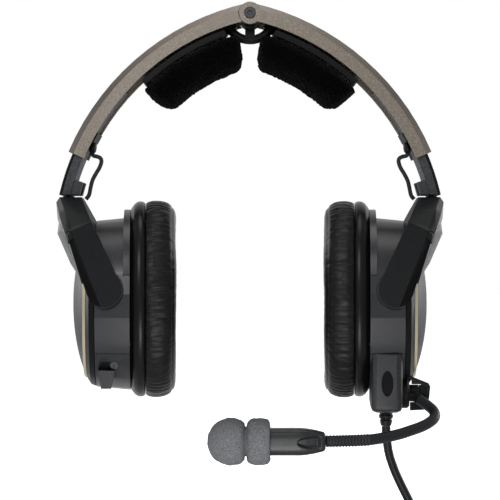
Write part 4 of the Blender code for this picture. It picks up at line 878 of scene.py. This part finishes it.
def fleece_pad(seed):
    bm = bmesh.new()
    loops = []
    for step in range(PAD_STEPS + 1):
        share = step / PAD_STEPS
        from_end = min(1.0, min(share, 1.0 - share) / PAD_END)
        swell = math.sqrt(max(0.0, 1.0 - (1.0 - from_end) ** 2))
        angle = math.radians(PAD_ANGLES[0] + (PAD_ANGLES[1] - PAD_ANGLES[0]) * share)
        ring = bmesh.ops.create_circle(bm, segments=PAD_SIDES, radius=1.0)["verts"]
        for vert, (depth, y) in zip(ring, pad_section(swell)):
            radius = PAD_OUTER - PAD_SKIN - depth
            vert.co = (ARC_CENTRE[0] + radius * math.cos(angle), y,
                       ARC_CENTRE[1] + radius * math.sin(angle))
        loops.append(edges_of(ring))
    for low, high in zip(loops, loops[1:]):
        bmesh.ops.bridge_loops(bm, edges=low + high)
    for loop in (loops[0], loops[-1]):
        cap = bmesh.ops.contextual_create(bm, geom=loop)["faces"]
        bmesh.ops.poke(bm, faces=cap)
    bmesh.ops.recalc_face_normals(bm, faces=bm.faces)
    bmesh.ops.subdivide_edges(bm, edges=bm.edges[:], cuts=2, use_grid_fill=True, smooth=0.0)
    bm.normal_update()
    for vert in bm.verts:
        pile = noise.noise(vert.co * 0.75 + Vector((seed, 0.0, 0.0))) * 0.55
        tufts = noise.noise(vert.co * 1.7 + Vector((0.0, 0.0, seed))) * 0.25
        lumps = noise.noise(vert.co * 0.16 + Vector((0.0, seed, 0.0))) * 0.7
        vert.co += vert.normal * (pile + tufts + lumps - 0.3)
    return bm


for side, flip, seed in (("left", Matrix(), 2.0), ("right", mirror, 9.0)):
    pad = piece(fleece_pad(seed), f"head_pad_{side}_piece", f"arm_{side}", fleece,
                (f"head_pad_{side}",), sharp=180.0, placed=flip)
    rounded(f"pad_carrier_{side}", inner_nylon, 0.3)

# %% [markdown]
# ## Sliders, yokes and loop wires
# The slider runs in the arm. Its outer chamfers are polished black and its front face is charcoal.
# The yoke has the same black chamfers. Its bulged outer web has a smoother skin, and its pale grey colour
# is a painted highlight of side light.

# %% Sliders and yokes
SLIDER_FLAT = 7.0  # half width of the slider's flat face


def slider_bevel(centre, normal):
    return 0.25 < abs(normal.y) < 0.93 and abs(centre.y) > SLIDER_FLAT


def yoke_faces(sign):
    """Plain faces are 0, the outer chamfers 1 and the outer web, which carries the painted highlight, 2."""
    def chosen(centre, normal):
        outward = sign * normal.x
        if outward > 0.3 and (abs(normal.y) > 0.39 or normal.z > 0.45):
            return 1
        return 2 if outward > 0.7 else 0
    return chosen


for side, sign in (("left", 1.0), ("right", -1.0)):
    rounded(f"slider_{side}", [slider_nylon, black_edge], 0.3, pick=slider_bevel)
    rounded(f"swivel_pin_{side}", oxide_steel, 0.2)
    rounded(f"yoke_{side}", [yoke_nylon, black_edge, web_nylon_painted_highlight], 0.4, segments=3,
            pick=yoke_faces(sign))
    rounded(f"front_pivot_pin_{side}", oxide_steel, 0.2)
    rounded(f"rear_pivot_pin_{side}", oxide_steel, 0.2)

# %% [markdown]
# A rubber grommet is clipped in the mouth of each arm. It ends in a round knob, from which the
# signal wire leaves, loops past the slider and enters the yoke. The slider moves and the knob
# doesn't, so the wire is put on no body.

# %% Grommets and loop wires
LOOP_WIRE_RADIUS = 1.05
LOOP_WIRE_ROUTE = (
    (80.9, -41.0), (79.8, -42.7), (77.8, -43.2), (76.1, -44.2), (75.8, -46.0), (76.8, -48.9), (78.7, -52.1),
    (80.3, -55.2), (81.2, -58.6), (81.7, -61.2), (82.3, -63.2), (83.7, -64.9),
)
KNOB_ROUTE = ((78.4, -33.6), (79.2, -36.4), (79.9, -38.6), (80.3, -40.2), (80.7, -41.5))
KNOB_RADII = (0.7, 1.2, 1.75, 1.8, 1.2)
KNOB_STRETCH = 1.7
CLIP = (119.2, 28.75, 1.3, 18.0, 5.0)  # radius and angle on the arc, then thickness, width and height


def grommet_knob():
    bm = bmesh.new()
    lathe_along(bm, [(x, 0.0, z) for x, z in KNOB_ROUTE], KNOB_RADII, 24)
    for vert in bm.verts:
        vert.co.y *= KNOB_STRETCH
    bmesh.ops.bevel(bm, geom=[edge for edge in bm.edges if edge.calc_face_angle(0.0) > 0.7], offset=0.4,
                    segments=3, profile=0.5, affect="EDGES")
    radius, angle, thick, width, high = CLIP
    turn = math.radians(angle)
    made = bmesh.ops.create_cube(bm, size=1.0)["verts"]
    bmesh.ops.scale(bm, vec=(thick, width, high), verts=made)
    bmesh.ops.rotate(bm, matrix=Matrix.Rotation(-turn, 3, "Y"), verts=made)
    bmesh.ops.translate(bm, verts=made, vec=(ARC_CENTRE[0] + radius * math.cos(turn), 0.0,
                                             ARC_CENTRE[1] + radius * math.sin(turn)))
    return bm


def loop_wire():
    bm = bmesh.new()
    route = smooth_route([(x, 0.0, z) for x, z in LOOP_WIRE_ROUTE], 0.5)
    lathe_along(bm, route, [LOOP_WIRE_RADIUS] * len(route), 20)
    return bm


each_side(grommet_knob, "wire_grommet", "arm", grommet_rubber, toed=False)
for side, flip in (("left", Matrix()), ("right", mirror)):
    node = f"loop_wire_{side}"
    wire = piece(loop_wire(), f"{node}_piece", None, wire_sleeve, (node,), placed=flip)
    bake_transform(wire)

# %% [markdown]
# ## Boom module and gooseneck
# The housing under the left cup, its pivot disc and the thumb nut are CAD copies. The housing has an
# oval hollow in front, whose faces are polished black, and two upright joints in its moulding, which
# are too fine to model and are painted as dark lines.

# %% Housing, pivot and small parts
DIMPLE = (66.7, -32.9, -155.7, 3.1, 6.5)  # centre on the housing's front, then half sizes
DIMPLE_DEPTHS = (0.3, 4.0)
SEAMS = ((59.5, 0.2), (61.3, 0.25))  # place across the housing, then half width


def in_dimple(centre, normal):
    x, y, z, half_x, half_z = DIMPLE
    inside = ((centre.x - x) / half_x) ** 2 + ((centre.z - z) / half_z) ** 2 < 1.0
    behind = centre.y - y + (centre.x - x) * math.tan(TOE_IN)
    return inside and DIMPLE_DEPTHS[0] < behind < DIMPLE_DEPTHS[1]


for at_mm, half_mm in SEAMS:
    paint_over(module_abs, "020202", lambda tree, parts: add(
        tree, "ShaderNodeMath", {"operation": "COMPARE", 1: at_mm * MM, 2: half_mm * MM}, {0: (parts, 0)}))
rounded("boom_module", [module_abs, black_edge], 0.35, pick=in_dimple)
for node, surface, edge in (
        ("port_cover_right", cup_abs, 0.3), ("port_screw_right", oxide_steel, 0.1),
        ("boom_hub", inner_nylon, 0.25), ("wing_nut", yoke_nylon, 0.25), ("strain_relief", cable_pvc, 0.15),
        ("mic_capsule", inner_nylon, 0.2)):
    rounded(node, surface, edge)
for node in ("driver_left", "driver_right", "circuit_board_left", "circuit_board_right"):
    frame["nodes"][node].data.materials[0] = inner_nylon

# %% [markdown]
# The gooseneck is one rubber-sleeved tube across the joint at its bend, so it is made in one piece,
# on no body. The sleeve is smooth to the bend. Beyond it
# stands a run of shallow ribs, a millimetre and a half apart, up to the microphone.

# %% Gooseneck
BOOM_RADIUS = 2.75
BOOM_ROUTE = (
    (83.6, -21.6, -164.6), (85.6, -23.4, -166.0), (87.7, -25.6, -167.5), (89.5, -28.3, -169.2),
    (90.0, -31.5, -171.0), (88.7, -34.7, -172.7), (85.8, -37.6, -174.3), (81.6, -40.5, -175.8),
    (76.9, -43.1, -177.0), (71.9, -45.6, -178.2), (66.8, -47.8, -179.1), (61.8, -49.6, -179.8),
    (56.9, -51.2, -180.25), (52.0, -52.4, -180.4), (46.0, -53.5, -180.45), (35.8, -54.8, -180.5),
)
RIBS_FROM = 56.0
RIB_SPACING = 1.5
RIB_RISE = 0.32
RIB_ROOT = 0.15  # depth of the sleeve below the outer size


def gooseneck():
    route = smooth_route(BOOM_ROUTE, 0.5)
    radii = []
    for point in route:
        rib = 0.0
        if point.x < RIBS_FROM:
            rib = RIB_RISE * max(0.0, math.sin(math.tau * (RIBS_FROM - point.x) / RIB_SPACING))
        radii.append(BOOM_RADIUS - RIB_ROOT + rib)
    bm = bmesh.new()
    lathe_along(bm, route, radii)
    made = piece(bm, "gooseneck_piece", None, boom_rubber, ("boom", "boom_tip"))
    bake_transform(made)


gooseneck()

# %% [markdown]
# ## Microphone
# The shell is a squarish bar that narrows towards the boom. Its front carries a spoon-shaped hollow
# near that end, which is pressed into the mesh: vertices inside the spoon's outline move back by a
# smooth depth. So the bar has many rows, and its size at each is read off a short profile.

# %% Microphone shell
MIC_PLACE = (0.0, -55.0, -180.6)
MIC_X = (8.3, 35.4)
MIC_HALF = (4.85, 6.402)  # half sizes in Y and Z
MIC_POWER = 3.4
MIC_SIDES = 120
MIC_ROWS = 110
MIC_PROFILE = (
    (0.0, 0.97), (0.04, 1.0), (0.56, 1.0), (0.66, 0.965), (0.8, 0.87), (0.93, 0.74), (0.965, 0.7),
    (0.985, 0.64), (1.0, 0.52),
)  # share of the length from the foam, then share of the half sizes
SPOON = (31.0, 9.0, 3.0, 1.6)  # rim at the boom's end, length towards the foam, half height, depth


def mic_bar():
    low, high = MIC_X
    rows = []
    for (a, r), (b, s) in zip(MIC_PROFILE, MIC_PROFILE[1:]):
        steps = max(1, round((b - a) * MIC_ROWS))
        rows += [(a + (b - a) * i / steps, r + (s - r) * i / steps) for i in range(steps)]
    rows.append(MIC_PROFILE[-1])
    bm = bmesh.new()
    join_loops(bm, [oval_loop(bm, low + (high - low) * share, MIC_HALF[1] * size, MIC_HALF[0] * size,
                              0.0, MIC_SIDES, MIC_POWER) for share, size in rows])
    end, length, half_high, depth = SPOON
    for vert in bm.verts:
        along = (end - vert.co.x) / length
        if vert.co.y < 0.0 and -0.25 < along < 1.0:
            half = half_high * math.sqrt(max(0.0, 1.0 - max(0.0, along) ** 2.2))
            inside = 1.0 - abs(vert.co.z) / max(half, 0.05)
            fade = min(1.0, (along + 0.25) / 0.2)
            vert.co.y += depth * fade * max(0.0, min(1.0, inside / 0.45)) ** 0.7
    bmesh.ops.translate(bm, verts=bm.verts, vec=MIC_PLACE)
    return bm


piece(mic_bar(), "mic_housing_piece", "mic_arm", mic_shell, ("mic_housing",), sharp=50.0)

# %% [markdown]
# The windscreen is cut foam: a ball with a waist and a collar. Its outline is spun round the
# microphone's axis, and noise at the size of the foam's cells roughens it.

# %% Foam windscreen
SCREEN_X = (-20.2, 9.2)
SCREEN_RADIUS = 11.3
SCREEN_WAIST = -2.0
SCREEN_SIDES = 120
GROOVE = (
    (-1.3, 0.84), (-0.45, 0.77), (-0.3, 0.62), (0.3, 0.62), (0.45, 0.77), (1.2, 0.86), (2.4, 0.94),
    (3.8, 0.975), (4.9, 0.975), (6.0, 0.975), (7.1, 0.975), (8.2, 0.975),
)  # from the waist, then share of the radius
COLLAR = ((-1.0, 0.95), (-0.2, 0.9), (0.3, 0.8))  # from the collar's end, then share of the radius
BORE_RADIUS = 5.2


def foam_screen():
    low, high = SCREEN_X
    radius = SCREEN_RADIUS
    outline = [(low, 0.01)]
    for i in range(1, 21):
        turn = math.radians(90.0 - 5.9 * i)
        outline.append((low + radius - radius * math.sin(turn), radius * math.cos(turn)))
    outline += [(SCREEN_WAIST + x, radius * share) for x, share in GROOVE]
    outline += [(high + x, radius * share) for x, share in COLLAR]
    outline.append((high + COLLAR[-1][0], BORE_RADIUS))
    bm = bmesh.new()
    verts = [bm.verts.new((x, 0.0, r)) for x, r in outline]
    edges = [bm.edges.new(pair) for pair in zip(verts, verts[1:])]
    bmesh.ops.spin(bm, geom=verts + edges, axis=(1.0, 0.0, 0.0), cent=(0.0, 0.0, 0.0), angle=math.tau,
                   steps=SCREEN_SIDES, use_merge=True)
    bmesh.ops.remove_doubles(bm, verts=bm.verts, dist=0.02)
    hole = [edge for edge in bm.edges if edge.is_boundary]
    bmesh.ops.contextual_create(bm, geom=hole)
    bmesh.ops.recalc_face_normals(bm, faces=bm.faces)
    bm.normal_update()
    for vert in bm.verts:
        lumps = noise.noise(vert.co * 0.35) * 0.35
        cells = noise.noise(vert.co * 1.9) * 0.2
        vert.co += vert.normal * (lumps + cells - 0.2)
    bmesh.ops.translate(bm, verts=bm.verts, vec=MIC_PLACE)
    return bm


screen = piece(foam_screen(), "windscreen_piece", "mic_arm", foam, ("windscreen",), sharp=180.0)
